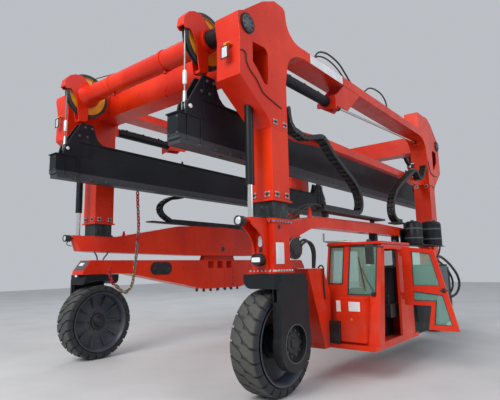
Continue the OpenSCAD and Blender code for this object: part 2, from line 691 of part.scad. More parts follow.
// Lifting beam with its end boxes and rope hangers
module lifting_beam() {
  difference() {
    union() {
      slab([-85, 85], [-lb_box - 1, lb_box + 1], [lbeam_low + 100, lb_top - 1]);
      slab([-lbeam_w / 2, lbeam_w / 2], [-lb_box, lb_box], [lb_top - 22, lb_top]);
      along_y(-lbeam_half + 40, lbeam_half - 40) polygon([[-lbeam_w / 2, lbeam_low], [lbeam_w / 2, lbeam_low],
        [lbeam_w / 2, lbeam_low + 50], [85, lbeam_low + chord_h], [-85, lbeam_low + chord_h], [-lbeam_w / 2, lbeam_low + 50]]);
    }
    slab([-73, 73], [-lb_box + 30, lb_box - 30], [lbeam_low + chord_h, lb_top - 20]);
    for (y = lbore_y, s = [-1, 1]) translate([0, s * y, lbeam_low - 1]) cylinder(d = lbore_d, h = chord_h + 2);
  }
  for (m = [0, 1]) mirror([0, m, 0]) {
    slab([-lbeam_w / 2, lbeam_w / 2], [lb_box, lbeam_half], [lbeam_low + 60, lb_top - 270]);
    for (x = [-90, 60]) along_x(x, x + 30) polygon([for (p = hanger) [rope_y + p[0], lb_top + p[1]]]);
    translate([0, rope_y, rope_foot - 20 - seat]) rod_x(40, -61, 61);
  }
}
module lifting_beam_right() color("black") translate([hoist_x, 0, 0]) lifting_beam();
module lifting_beam_left() color("black") translate([-hoist_x, 0, 0]) lifting_beam();

link_pitch = 96;
module lifting_chain() color("crimson") translate([-hoist_x - 20, -2680, lbeam_low - seat - 50]) for (i = [0 : 18])
  translate([0, 0, -i * link_pitch]) rotate([0, 0, (i % 2) * 90]) cube([56, 16, 100], center = true);

module ropes(sx) color(steel) for (sy = [-1, 1]) translate([sx * hoist_x, sy * rope_y, rope_foot])
  cylinder(d = rope_d, h = shaft_z - rope_foot);
module ropes_right() ropes(1);
module ropes_left() ropes(-1);

inner_legs_right();
bases_right();
low_beam_right();
cab_floor();
cab_body();
cab_roof();
cab_glass();
cab_seat();
cab_mirror();
engine_block();
power_pack();
side_tank();
canisters();
lift_rods_right();
tray_right();
energy_chains_right();
cab_door();
door_glass();
inner_legs_left();
side_beam_left();
rocker_left();
rocker_pin();
lift_rods_left();
tray_left();
energy_chain_left();
fork_a();
fork_b();
fork_c();
fork_d();
tyre_a();
tyre_b();
tyre_c();
tyre_d();
rim_a();
rim_b();
rim_c();
rim_d();
upper_leg_a();
upper_leg_b();
upper_leg_c();
upper_leg_d();
top_beams();
cross_beams();
tie_beams();
cross_shafts();
carriages();
sheave_a();
sheave_b();
sheave_c();
sheave_d();
lift_barrels();
hoist_cylinders();
valve_blocks();
lifting_beam_right();
lifting_beam_left();
lifting_chain();
ropes_right();
ropes_left();
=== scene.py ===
import bpy
from math import cos, pi, radians, sin
from mathutils import Matrix, Vector


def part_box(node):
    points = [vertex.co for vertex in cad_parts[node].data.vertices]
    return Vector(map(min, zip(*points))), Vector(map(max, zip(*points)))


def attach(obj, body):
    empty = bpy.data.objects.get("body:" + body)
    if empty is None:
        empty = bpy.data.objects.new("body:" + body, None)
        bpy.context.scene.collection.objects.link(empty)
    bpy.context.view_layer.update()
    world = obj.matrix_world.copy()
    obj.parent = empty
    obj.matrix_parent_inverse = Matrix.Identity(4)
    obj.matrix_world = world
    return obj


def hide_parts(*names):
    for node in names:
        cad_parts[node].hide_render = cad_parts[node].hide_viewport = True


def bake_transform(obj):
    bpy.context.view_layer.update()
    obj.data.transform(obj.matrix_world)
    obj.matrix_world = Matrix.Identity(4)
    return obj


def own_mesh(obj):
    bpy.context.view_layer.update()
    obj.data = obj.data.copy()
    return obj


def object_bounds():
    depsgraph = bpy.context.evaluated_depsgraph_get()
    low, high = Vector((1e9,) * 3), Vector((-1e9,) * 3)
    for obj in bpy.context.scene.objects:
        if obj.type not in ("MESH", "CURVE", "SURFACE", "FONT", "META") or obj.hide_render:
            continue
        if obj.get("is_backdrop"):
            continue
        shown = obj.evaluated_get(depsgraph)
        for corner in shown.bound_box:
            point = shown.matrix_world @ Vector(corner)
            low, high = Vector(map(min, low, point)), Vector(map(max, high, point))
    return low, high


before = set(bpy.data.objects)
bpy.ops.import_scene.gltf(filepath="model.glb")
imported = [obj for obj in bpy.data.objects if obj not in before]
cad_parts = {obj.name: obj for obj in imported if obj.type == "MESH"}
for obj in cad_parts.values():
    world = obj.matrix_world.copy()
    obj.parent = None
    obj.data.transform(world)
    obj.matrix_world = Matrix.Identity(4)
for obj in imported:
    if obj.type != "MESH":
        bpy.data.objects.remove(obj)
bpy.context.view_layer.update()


# places taken from the frame: leg centres, axles, shafts and ropes
def lowOf(node):
    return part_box(node)[0]


def highOf(node):
    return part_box(node)[1]


def middleOf(node):
    low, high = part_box(node)
    return (low + high) / 2


legX = middleOf("tyre_a").x
legY = -middleOf("tyre_a").y
axleZ = middleOf("tyre_a").z
tyreR = (highOf("tyre_a").z - lowOf("tyre_a").z) / 2
tyreHalf = (highOf("tyre_a").x - lowOf("tyre_a").x) / 2
legHalf = highOf("inner_legs_right").x - legX
tubeLow = lowOf("upper_leg_a").z
shaftY = -lowOf("sheave_a").y - (highOf("sheave_a").z - lowOf("sheave_a").z) / 2
shaftZ = middleOf("cross_shafts").z
hoistX = middleOf("ropes_right").x
ropeY = highOf("ropes_right").y - (highOf("ropes_right").x - lowOf("ropes_right").x) / 2
ropeFoot = lowOf("ropes_right").z
corners = {"a": (1, -1), "b": (-1, -1), "c": (1, 1), "d": (-1, 1)}
words = {1: "right", -1: "left"}


# camera: the photograph's viewpoint
cameraView = {
    "place": (5.2233, -7.6498, 1.5338),
    "yaw": 38.78,
    "pitch": 8.524,
    "roll": -1.0586,
    "lens": 31.735,
    "sensor": 36,
}


def makeCamera():
    yaw, pitch, roll = (radians(cameraView[k]) for k in ("yaw", "pitch", "roll"))
    ahead = Vector((-sin(yaw) * cos(pitch), cos(yaw) * cos(pitch), sin(pitch)))
    level = Vector((cos(yaw), sin(yaw), 0))
    above = level.cross(ahead)
    right = cos(roll) * level + sin(roll) * above
    up = -sin(roll) * level + cos(roll) * above
    data = bpy.data.cameras.new("photoCamera")
    data.lens, data.sensor_width, data.clip_end = cameraView["lens"], cameraView["sensor"], 300
    camera = bpy.data.objects.new("photoCamera", data)
    turn = Matrix((right, up, -ahead)).transposed().to_4x4()
    camera.matrix_world = Matrix.Translation(cameraView["place"]) @ turn
    bpy.context.scene.collection.objects.link(camera)
    bpy.context.scene.camera = camera


makeCamera()
print("camera placed")


# shader maths: a socket with the usual operators
class Sock:
    tree = None

    def __init__(self, out):
        self.out = out

    @staticmethod
    def feed(value, target):
        if isinstance(value, Sock):
            Sock.tree.links.new(value.out, target)
        elif isinstance(value, (tuple, list)) and len(value) == 3 and target.type == "RGBA":
            target.default_value = (*value, 1)
        else:
            target.default_value = value

    @staticmethod
    def node(kind, settings=None, inputs=None, out=0):
        made = Sock.tree.nodes.new("ShaderNode" + kind)
        for name, value in (settings or {}).items():
            setattr(made, name, value)
        for name, value in (inputs or {}).items():
            Sock.feed(value, made.inputs[name])
        return Sock(made.outputs[out])

    @staticmethod
    def maths(operation, *values):
        return Sock.node("Math", {"operation": operation}, dict(enumerate(values)))

    def __add__(self, other):
        return Sock.maths("ADD", self, other)

    def __sub__(self, other):
        return Sock.maths("SUBTRACT", self, other)

    def __rsub__(self, other):
        return Sock.maths("SUBTRACT", other, self)

    def __mul__(self, other):
        return Sock.maths("MULTIPLY", self, other)

    __radd__, __rmul__ = __add__, __mul__

    def between(self, low, high):
        # 0 below low, 1 above high, and smooth from one to the other
        inputs = {"Value": self, "From Min": low, "From Max": high}
        return Sock.node("MapRange", {"interpolation_type": "SMOOTHSTEP"}, inputs)


def place():
    return Sock.node("TexCoord", out=3)


def parts(vector):
    split = Sock.tree.nodes.new("ShaderNodeSeparateXYZ")
    Sock.tree.links.new(vector.out, split.inputs[0])
    return [Sock(split.outputs[i]) for i in range(3)]


def noise(scale, detail=3, rough=0.55, stretch=None):
    where = place()
    if stretch:
        where = Sock.node("VectorMath", {"operation": "MULTIPLY"}, {0: where, 1: stretch})
    return Sock.node("TexNoise", None, {"Vector": where, "Scale": scale, "Detail": detail, "Roughness": rough})


def bands(scale, direction="X"):
    return Sock.node("TexWave", {"wave_type": "BANDS", "bands_direction": direction},
                     {"Vector": place(), "Scale": scale})


def blendColour(share, first, second):
    mixed = Sock.tree.nodes.new("ShaderNodeMix")
    mixed.data_type = "RGBA"
    for value, slot in ((share, 0), (first, 6), (second, 7)):
        Sock.feed(value, mixed.inputs[slot])
    return Sock(mixed.outputs[2])


def bump(height, strength, distance):
    return Sock.node("Bump", None, {"Height": height, "Strength": strength, "Distance": distance})


def fromShaft(middleY, middleZ):
    # distance from the axis along X that runs through these places, in front and behind
    y, z = parts(place())[1:]
    aside = Sock.maths("ABSOLUTE", y) - middleY
    return Sock.maths("SQRT", aside * aside + (z - middleZ) * (z - middleZ))


def makeMaterial(name, build, **fixed):
    # build() gives the varying inputs; fixed ones are set on the shader itself
    material = bpy.data.materials.new(name)
    material.use_nodes = True
    Sock.tree = material.node_tree
    shader = material.node_tree.nodes["Principled BSDF"]
    for key, value in [*fixed.items(), *build().items()]:
        Sock.feed(value, shader.inputs[key])
    return material


# finishes
finishes = {
    "red": (0.80, 0.036, 0.003),
    "redDeep": (0.62, 0.018, 0.002),
    "dark": (0.011, 0.014, 0.018),
    "grey": (0.10, 0.12, 0.13),
    "rim": (0.040, 0.052, 0.078),
    "yellow": (0.86, 0.43, 0.02),
    "rubber": (0.022, 0.024, 0.028),
    "tread": (0.085, 0.085, 0.078),
    "dust": (0.16, 0.14, 0.12),
    "coat": 0.12,
}


def shaded(colour, share):
    return tuple(share * c for c in colour)


def groundDust(reach, most):
    # road film that fades out with height, broken up by noise
    height = parts(place())[2]
    return (1 - height.between(0.05, reach)) * noise(3.2, 5).between(0.3, 0.8) * most


def paintLook(colour, deep, roughLow, roughHigh, dustReach=1.5, dustMost=0.35):
    streaks = noise(2.4, 4, 0.6, (3.0, 3.0, 0.35)).between(0.45, 0.8)
    base = blendColour(noise(0.9, 4).between(0.35, 0.7), deep, colour)
    base = blendColour(streaks * 0.16, base, shaded(deep, 0.5))
    rough = roughLow + (roughHigh - roughLow) * noise(4.5, 4).between(0.3, 0.75)
    return {
        "Base Color": blendColour(groundDust(dustReach, dustMost), base, finishes["dust"]),
        "Roughness": rough + groundDust(dustReach, 0.3),
        "Normal": bump(noise(55, 2), 0.06, 0.002),
    }


def mottled(name, cloud, first, second, rough, grain=None, more=None, **fixed):
    # cloud: scale, detail and span of the mix of both tones; rough: least, spread and scale
    # grain: scale, detail, strength and depth
    def build():
        share = noise(*cloud[:2])
        look = {
            "Base Color": blendColour(share.between(*cloud[2:]) if cloud[2:] else share, first, second),
            "Roughness": rough[0] + rough[1] * noise(rough[2]),
        }
        if grain:
            look["Normal"] = bump(noise(*grain[:2]), *grain[2:])
        return {**look, **(more() if more else {})}

    return makeMaterial(name, build, **fixed)


def coats(weight, rough, specular):
    return {"Coat Weight": weight, "Coat Roughness": rough, "Specular IOR Level": specular}


redPaint = makeMaterial("redPaint", lambda: paintLook(finishes["red"], finishes["redDeep"], 0.26, 0.42),
                        **coats(finishes["coat"], 0.2, 0.3))
darkPaint = makeMaterial(
    "darkPaint", lambda: paintLook(finishes["dark"], shaded(finishes["dark"], 0.6), 0.38, 0.55, 1.2, 0.22),
    **coats(0.04, 0.3, 0.25))
rimPaint = makeMaterial(
    "rimPaint", lambda: paintLook(finishes["rim"], shaded(finishes["rim"], 0.7), 0.36, 0.55, 1.4, 0.4))
greyPaint = makeMaterial(
    "greyPaint", lambda: paintLook(finishes["grey"], shaded(finishes["grey"], 0.7), 0.4, 0.6))
signWhite = mottled("signWhite", (6, 4, 0.35, 0.8), (0.80, 0.81, 0.82), (0.66, 0.68, 0.70), (0.35, 0.15, 9))
hoseRubber = mottled("hoseRubber", (14, 4), (0.011, 0.011, 0.012), (0.024, 0.024, 0.025), (0.42, 0.2, 22),
                     (180, 2, 0.12, 0.001))
chainPlastic = mottled("chainPlastic", (8, 4, 0.35, 0.8), (0.010, 0.011, 0.013), (0.032, 0.033, 0.035),
                       (0.38, 0.22, 15), (120, 3, 0.1, 0.001))
zinc = mottled("zinc", (25, 4), (0.50, 0.51, 0.52), (0.42, 0.42, 0.40), (0.28, 0.25, 40), Metallic=0.9)
studSteel = mottled("studSteel", (25, 4), (0.16, 0.16, 0.17), (0.05, 0.05, 0.055), (0.34, 0.25, 40),
                    Metallic=0.7)
ropeSteel = mottled("ropeSteel", (30, 4), (0.30, 0.30, 0.29), (0.12, 0.12, 0.12), (0.4, 0.2, 50), Metallic=0.8)
chainBrass = mottled("chainBrass", (22, 4), (0.42, 0.33, 0.15), (0.16, 0.13, 0.08), (0.32, 0.2, 30),
                     Metallic=0.85)
chainRed = mottled("chainRed", (22, 4, 0.45, 0.75), (0.42, 0.008, 0.018), (0.05, 0.03, 0.03), (0.3, 0.25, 30),
                   more=lambda: {"Metallic": 0.2 + 0.5 * noise(22, 4).between(0.5, 0.8)})
amberGlass = mottled("amberGlass", (30, 2), (0.95, 0.30, 0.015), (0.75, 0.18, 0.01), (0.12, 0.1, 20),
                     **{"Coat Weight": 0.8})
lampGlass = mottled("lampGlass", (70, 2), (0.85, 0.87, 0.88), (0.55, 0.60, 0.64), (0.08, 0.1, 30),
                    more=lambda: {"Normal": bump(bands(28), 0.3, 0.002)},
                    **{"Coat Weight": 0.6, "Metallic": 0.35})
rodChrome = makeMaterial(
    "rodChrome",
    lambda: {
        "Base Color": blendColour(noise(3, 4).between(0.4, 0.8) * 0.35, (0.78, 0.78, 0.76), (0.50, 0.47, 0.36)),
        "Roughness": 0.10 + 0.10 * noise(7, stretch=(6, 6, 0.5)),
    },
    Metallic=1.0,
)
glassPane = makeMaterial(
    "glassPane",
    lambda: {
        "Base Color": blendColour(noise(1.8, 3), (0.30, 0.62, 0.50), (0.22, 0.52, 0.42)),
        "Roughness": 0.02 + 0.05 * noise(3, 4).between(0.5, 0.9),
        "Alpha": 0.24 + 0.08 * noise(1.1, 3),
    },
    IOR=1.45,
)


def sheaveLook():
    # yellow web inside a black, worn rope rim
    rim = fromShaft(shaftY, shaftZ).between(0.316, 0.322)
    web = blendColour(noise(5, 4).between(0.35, 0.75), finishes["yellow"], (0.70, 0.30, 0.012))
    return {
        "Base Color": blendColour(rim, web, (0.022, 0.022, 0.024)),
        "Roughness": 0.34 + 0.22 * rim + 0.1 * noise(12),
        "Normal": bump(noise(60, 2), 0.05, 0.002),
    }


def rubberLook():
    # near black sidewalls, a dusty grey tread
    fine, cloud = noise(42, 4), noise(2.2, 5)
    tread = fromShaft(legY, axleZ).between(tyreR - 0.022, tyreR - 0.008)
    base = blendColour(tread * (0.45 + 0.55 * cloud.between(0.35, 0.7)), finishes["rubber"], finishes["tread"])
    return {
        "Base Color": blendColour(fine.between(0.5, 0.9) * 0.3, base, (0.018, 0.018, 0.020)),
        "Roughness": 0.62 + 0.25 * cloud,
        "Normal": bump(fine + 0.6 * noise(160, 2), 0.25, 0.002),
    }


def greaseLook():
    # sliding faces of the inner legs: dark grease with bright rub marks
    smear = noise(9, 5, 0.7, (1, 1, 0.35))
    spots = noise(26, 3, 0.6).between(0.58, 0.72)
    base = blendColour(smear.between(0.4, 0.7), (0.012, 0.015, 0.018), (0.045, 0.058, 0.062))
    return {
        "Base Color": blendColour(spots * 0.55, base, (0.22, 0.24, 0.23)),
        "Roughness": 0.24 + 0.3 * smear,
        "Metallic": 0.3 + 0.4 * spots,
    }


def beamLook():
    # lifting beams: near black, a lighter worn bottom chord and light scuffs
    chord = 1 - parts(place())[2].between(3.065, 3.085)
    scuff = noise(3.5, 5, 0.65, (1, 0.4, 2)).between(0.55, 0.8)
    base = blendColour(noise(0.9, 4).between(0.35, 0.7), (0.006, 0.008, 0.012), (0.012, 0.015, 0.021))
    base = blendColour(chord * 0.75, base, (0.055, 0.062, 0.070))
    return {
        "Base Color": blendColour(scuff * 0.25, base, (0.06, 0.065, 0.07)),
        "Roughness": 0.36 + 0.24 * noise(4.5, 4),
        "Normal": bump(noise(55, 2), 0.06, 0.002),
    }


def fabricLook():
    cloud = noise(7, 4)
    return {
        "Base Color": blendColour(cloud, (0.020, 0.022, 0.028), (0.045, 0.047, 0.055)),
        "Roughness": 0.78 + 0.15 * cloud,
        "Normal": bump(bands(90) * 0.5 + bands(90, "Z") * 0.5, 0.35, 0.0015),
    }


sheavePaint = makeMaterial("sheavePaint", sheaveLook, **{"Coat Weight": 0.2})
tyreRubber = makeMaterial("tyreRubber", rubberLook)
greasedSteel = makeMaterial("greasedSteel", greaseLook)
beamPaint = makeMaterial("beamPaint", beamLook, **coats(0.03, 0.3, 0.22))
seatFabric = makeMaterial("seatFabric", fabricLook)
print("finishes made")


# a small mesh builder
boxFaces = [(0, 3, 2, 1), (4, 5, 6, 7), (0, 1, 5, 4), (1, 2, 6, 5), (2, 3, 7, 6), (3, 0, 4, 7)]


class Shape:
    def __init__(self):
        self.points, self.faces, self.looks, self.look = [], [], [], 0

    def dye(self, look):
        # the material slot of what is added next
        self.look = look
        return self

    def mark(self):
        return len(self.points), len(self.faces)

    def add(self, points, faces):
        first = len(self.points)
        self.points += [Vector(p) for p in points]
        self.faces += [[first + i for i in face] for face in faces]
        self.looks += [self.look] * len(faces)
        return self

    def block(self, low, high):
        (a, b, c), (d, e, f) = low, high
        points = [(a, b, c), (d, b, c), (d, e, c), (a, e, c), (a, b, f), (d, b, f), (d, e, f), (a, e, f)]
        return self.add(points, boxFaces)

    def prism(self, outline, axis, low, high):
        # outline in the two other axes, in x, y, z order
        k = "xyz".index(axis)
        area = sum(p[0] * q[1] - q[0] * p[1] for p, q in zip(outline, outline[1:] + outline[:1]))
        if (area > 0) == (axis == "y"):
            outline = outline[::-1]
        n = len(outline)
        points = [[*p[:k], at, *p[k:]] for at in (low, high) for p in outline]
        sides = [(i, (i + 1) % n, n + (i + 1) % n, n + i) for i in range(n)]
        return self.add(points, [list(range(n))[::-1], list(range(n, 2 * n)), *sides])

    def lathe(self, profile, centre, axis, steps=32):
        # profile of (radius, height along the axis), closed where the radius is 0
        k = "xyz".index(axis)
        u, v = (k + 1) % 3, (k + 2) % 3
        points = []
        for i in range(steps):
            angle = 2 * pi * i / steps
            for radius, height in profile:
                p = list(centre)
                p[k] += height
                p[u] += radius * cos(angle)
                p[v] += radius * sin(angle)
                points.append(p)
        m = len(profile)
        faces = []
        for i in range(steps):
            a, b = i * m, (i + 1) % steps * m
            faces += [(a + j, b + j, b + j + 1, a + j + 1) for j in range(m - 1)]
        return self.add(points, faces)

    def tube(self, path, radius, sides=10, closed=False):
        path = [Vector(p) for p in path]
        n = len(path)
        side, points = None, []
        for i, p in enumerate(path):
            if closed:
                along = path[(i + 1) % n] - path[i - 1]
            else:
                along = path[min(i + 1, n - 1)] - path[max(i - 1, 0)]
            along.normalize()
            side = (side - along * side.dot(along) if side else along.orthogonal()).normalized()
            other = along.cross(side)
            for j in range(sides):
                angle = 2 * pi * j / sides
                points.append(p + radius * (cos(angle) * side + sin(angle) * other))
        faces = []
        for i in range(n if closed else n - 1):
            a, b = i * sides, (i + 1) % n * sides
            faces += [(a + j, a + (j + 1) % sides, b + (j + 1) % sides, b + j) for j in range(sides)]
        if not closed:
            faces += [list(range(sides))[::-1], [(n - 1) * sides + j for j in range(sides)]]
        return self.add(points, faces)

    def bolt(self, centre, axis, width, height=None):
        # hexagon head on a washer; a minus sign in axis turns it round
        sign, axis = -1 if axis[0] == "-" else 1, axis[-1]
        height, head = sign * (height or width * 0.6), width * 0.577
        self.lathe([(0, height), (head * 0.8, height), (head, height * 0.8), (head, 0)], centre, axis, 6)
        washer = [(head * 0.9, sign * 0.12 * width), (head * 1.35, sign * 0.1 * width), (head * 1.4, 0)]
        return self.lathe(washer, centre, axis, 12)

    def copies(self, matrices, mark=(0, 0)):
        # repeats what was added since the mark under each matrix
        start, startFace = mark
        points, faces, looks = self.points[start:], self.faces[startFace:], self.looks[startFace:]
        del self.points[start:], self.faces[startFace:], self.looks[startFace:]
        for matrix in matrices:
            step = -1 if matrix.determinant() < 0 else 1
            first = len(self.points) - start
            self.points += [matrix @ p for p in points]
            self.faces += [[first + i for i in face][::step] for face in faces]
            self.looks += looks
        return self

    def scaled(self, *matrices):
        # from millimetres to metres, under each matrix
        return self.copies([matrix @ small for matrix in matrices or [Matrix.Identity(4)]])

    def make(self, name, body, materials, replaces=(), slot=None, bevel=0, sharp=35, free=False):
        mesh = bpy.data.meshes.new(name)
        mesh.from_pydata([tuple(p) for p in self.points], [], self.faces)
        for material in materials if isinstance(materials, list) else [materials]:
            mesh.materials.append(material)
        mesh.polygons.foreach_set("material_index", self.looks)
        mesh.polygons.foreach_set("use_smooth", [True] * len(mesh.polygons))
        mesh.update()
        mesh.set_sharp_from_angle(angle=radians(sharp))
        piece = bpy.data.objects.new(name, mesh)
        bpy.context.scene.collection.objects.link(piece)
        if bevel:
            edge = piece.modifiers.new("edge", "BEVEL")
            edge.width, edge.segments, edge.limit_method = bevel, 2, "ANGLE"
            edge.angle_limit, edge.harden_normals = radians(40), True
        if not free:
            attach(piece, body)
        if replaces:
            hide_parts(*replaces)
        return piece


small = Matrix.Scale(0.001, 4)


def cornerMatrix(key, z=0):
    # local X points outboard and local Y towards the machine's end, from the leg centre
    sx, sy = corners[key]
    return Matrix.Translation((sx * legX, sy * legY, z)) @ Matrix.Diagonal((sx, sy, 1, 1))


def around(count, r, offset=0):
    angles = [2 * pi * (i + offset) / count for i in range(count)]
    return [(r * cos(angle), r * sin(angle)) for angle in angles]


def smoothPath(points, count):
    # Catmull-Rom curve through the points, evenly spaced
    knots = [Vector(p) for p in points]
    knots = [2 * knots[0] - knots[1], *knots, 2 * knots[-1] - knots[-2]]
    fine = []
    for a, b, c, d in zip(knots, knots[1:], knots[2:], knots[3:]):
        for t in [i / 24 for i in range(24)]:
            bend = (2 * a - 5 * b + 4 * c - d) * t * t + (3 * b - a - 3 * c + d) * t**3
            fine.append(0.5 * (2 * b + (c - a) * t + bend))
    fine.append(knots[-2])
    gaps = [0.0]
    for p, q in zip(fine, fine[1:]):
        gaps.append(gaps[-1] + (q - p).length)
    even, j = [], 0
    for i in range(count):
        want = gaps[-1] * i / (count - 1)
        while j < len(gaps) - 2 and gaps[j + 1] < want:
            j += 1
        share = (want - gaps[j]) / max(gaps[j + 1] - gaps[j], 1e-9)
        even.append(fine[j].lerp(fine[j + 1], share))
    return even


def pathLength(path):
    return sum((q - p).length for p, q in zip(path, path[1:]))


# finishes on the CAD nodes that stay
def four(name):
    return [name + "_" + key for key in corners]


nodeFinish = {
    redPaint: ["bases_right", "low_beam_right", "cab_floor", "cab_body", "cab_roof", "cab_door",
               "side_beam_left", "rocker_left", *four("upper_leg"), "top_beams", "cross_beams", "tie_beams",
               "carriages"],
    darkPaint: ["engine_block", "power_pack", "canisters", *four("fork"), "cross_shafts", "lift_barrels",
                "hoist_cylinders", "valve_blocks"],
    greyPaint: ["side_tank"],
    greasedSteel: ["inner_legs_right", "inner_legs_left"],
    beamPaint: ["lifting_beam_right", "lifting_beam_left"],
    rimPaint: four("rim"),
    sheavePaint: four("sheave"),
    tyreRubber: four("tyre"),
    chainPlastic: ["tray_right", "tray_left", "energy_chains_right", "energy_chain_left", "cab_mirror"],
    rodChrome: ["lift_rods_right", "lift_rods_left", "rocker_pin"],
    glassPane: ["cab_glass", "door_glass"],
    seatFabric: ["cab_seat"],
    ropeSteel: ["ropes_right", "ropes_left"],
    chainRed: ["lifting_chain"],
}
for material, names in nodeFinish.items():
    for name in names:
        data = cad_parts[name].data
        data.materials.clear()
        data.materials.append(material)
print("CAD nodes finished")


# solids in millimetres, cut from one another and scaled when they are placed
def arc(u, v, ru, rv, low, high, count):
    turns = [radians(low + (high - low) * i / count) for i in range(count + 1)]
    return [(u + ru * cos(turn), v + rv * sin(turn)) for turn in turns]


def disc(axis, u, v, r, low, high, count=40):
    return bar(arc(u, v, r, r, 0, 360 - 360 / count, count - 1), axis, low, high)


def slab(x, y, z):
    return Shape().block((x[0], y[0], z[0]), (x[1], y[1], z[1]))


def bar(outline, axis, low, high):
    return Shape().prism(outline, axis, low, high)


def bothHalves(points):
    return [*points, *[(-u, v) for u, v in reversed(points) if u != 0]]


def asObject(shape):
    mesh = bpy.data.meshes.new("step")
    mesh.from_pydata([tuple(p) for p in shape.points], [], shape.faces)
    piece = bpy.data.objects.new("step", mesh)
    bpy.context.scene.collection.objects.link(piece)
    return piece


def carved(solid, cutters=(), keep=()):
    # booleans worked out at once, so that no modifier or cutter is left
    piece = asObject(solid)
    tools = [(asObject(tool), "DIFFERENCE") for tool in cutters]
    tools += [(asObject(tool), "INTERSECT") for tool in keep]
    for tool, operation in tools:
        step = piece.modifiers.new("cut", "BOOLEAN")
        step.operation, step.solver, step.object = operation, "EXACT", tool
    graph = bpy.context.evaluated_depsgraph_get()
    mesh = bpy.data.meshes.new_from_object(piece.evaluated_get(graph))
    left = Shape().add([v.co for v in mesh.vertices], [list(p.vertices) for p in mesh.polygons])
    for made in (piece, *[tool for tool, operation in tools]):
        bpy.data.objects.remove(made)
    bpy.data.meshes.remove(mesh)
    return left


def joined(*shapes):
    whole = Shape()
    for shape in shapes:
        first = len(whole.points)
        whole.points += shape.points
        whole.faces += [[first + i for i in face] for face in shape.faces]
        whole.looks += shape.looks
    return whole


# outer leg tubes with their heads
headForm = {
    "outline": [
        (-185, 3250), (-185, 3950), *arc(-680, 4150, 450, 305, 5, 90, 8), (-680, 4605),
        *arc(-560, 4900, 335, 295, -10, -90, 8)[::-1], (-205, 4990), (-150, 5020), (40, 5020), (307, 4885),
        (690, 4590), (790, 4540), (803, 4478), (766, 4262), (776, 3750), (233, 3350), (185, 3250),
    ],
    "hollow": [(210, 3390), (740, 3790), (735, 4250), (700, 4290), (210, 4290)],
    "slot": [
        (525, 4247), (285, 4262), (245, 4248), (220, 4215), (210, 4160), (210, 3890), (226, 3808), (245, 3780),
        (264, 3772), (310, 3790), (414, 3901), (525, 3994),
    ],
    "half": 185,      # of the outer tube
    "bore": (-173, 173),
    "foot": 2320,
    "collar": (-207, 207),
    "eyes": {-1: (340, 4135), 1: (400, 4358)},      # where a hoist cylinder or its rod ends
}


def legHead(sy):
    f = headForm
    half, foot = f["half"], f["foot"]
    eyeAt, eyeZ = f["eyes"][sy]
    room = slab(f["bore"], f["bore"], (foot - 1, 3660))
    voids = [room, bar(f["hollow"], "x", -165, 165), bar(f["slot"], "x", 160, 186),
             disc("z", 0, 394, 56, 3200, 3800), disc("x", 626, 4440, 116, -370, 370)]
    return joined(
        carved(slab((-half, half), (-half, half), (foot, 3250)), [room]),
        carved(slab(f["collar"], f["collar"], (foot, foot + 25)), [room]),
        carved(bar(f["outline"], "x", -half, half), voids),
        slab((-60, 60), (-eyeAt, -180), (eyeZ - 70, eyeZ + 70)),
    )


for key, (sx, sy) in corners.items():
    head = legHead(sy)
    if key == "c":
        head = joined(head, slab((-135, 180), (-665, -195), (4604, 5010)))
    head.scaled(cornerMatrix(key)).make(
        "legHead_" + key, "gantry", redPaint, ["upper_leg_" + key], "red_paint", bevel=0.004)


# torque tubes with the sheave guards
guardForm = {
    "side": [
        (440, 50), (418, 170), (342, 262), (250, 306), (135, 318), (0, 205), (-120, 90), (-120, -90), (0, -205),
        (10, -445), (90, -477), (163, -477), (182, -370), (215, -110), (317, 35), (398, 16),
    ],
    "hood": [(440, 50), (418, 170), (342, 262), (250, 306), (246, 296), (330, 250), (404, 160), (422, 46)],
    "plates": (-63, 47),
    "thick": 16,
    "reach": 1410,
    "flare": [(116, 1347), (200, 1347), (196, 1340), (148, 1200), (145, 1190)],
}


def carriageShape():
    f = guardForm
    shape = Shape()
    for x in (-f["reach"], f["reach"]):
        for plate in f["plates"]:
            shape.prism(f["side"], "x", x + plate, x + plate + f["thick"])
        shape.prism(f["hood"], "x", x - 48, x + 48)
        shape.block((x - 48, 20, -470), (x + 48, 140, -430))
    shape.lathe([*f["flare"], *[(r, -x) for r, x in f["flare"][::-1]]], (0, 0, 0), "x", 56)
    for s in (-1, 1):
        shape.lathe([(116, s * 1513), (150, s * 1513), (150, s * 1472)], (0, 0, 0), "x", 48)
    return shape


shafts = [Matrix.Translation((0, sy * shaftY, shaftZ)) @ Matrix.Diagonal((1, sy, 1, 1)) for sy in (-1, 1)]
carriageShape().scaled(*shafts).make(
    "sheaveGuards", "gantry", redPaint, ["carriages"], "red_paint", bevel=0.003)
print("heads and carriages made")


# steered forks with the drive motor in the leg
forkForm = {
    "crown": [(-185, 1434), *arc(-75, 1374, 110, 110, 180, 270, 8), (340, 1264), (340, 1434)],
    "leg": [(300, 1355), (-300, 1355), *arc(0, 625, 320, 320, 159.6, 380.4, 36)],
    "opening": 215,
    "axle": 625,
    "motor": [(0, 312), (52, 312), (60, 306), (60, 298), (118, 296), (126, 288), (126, 280), (168, 276)],
}


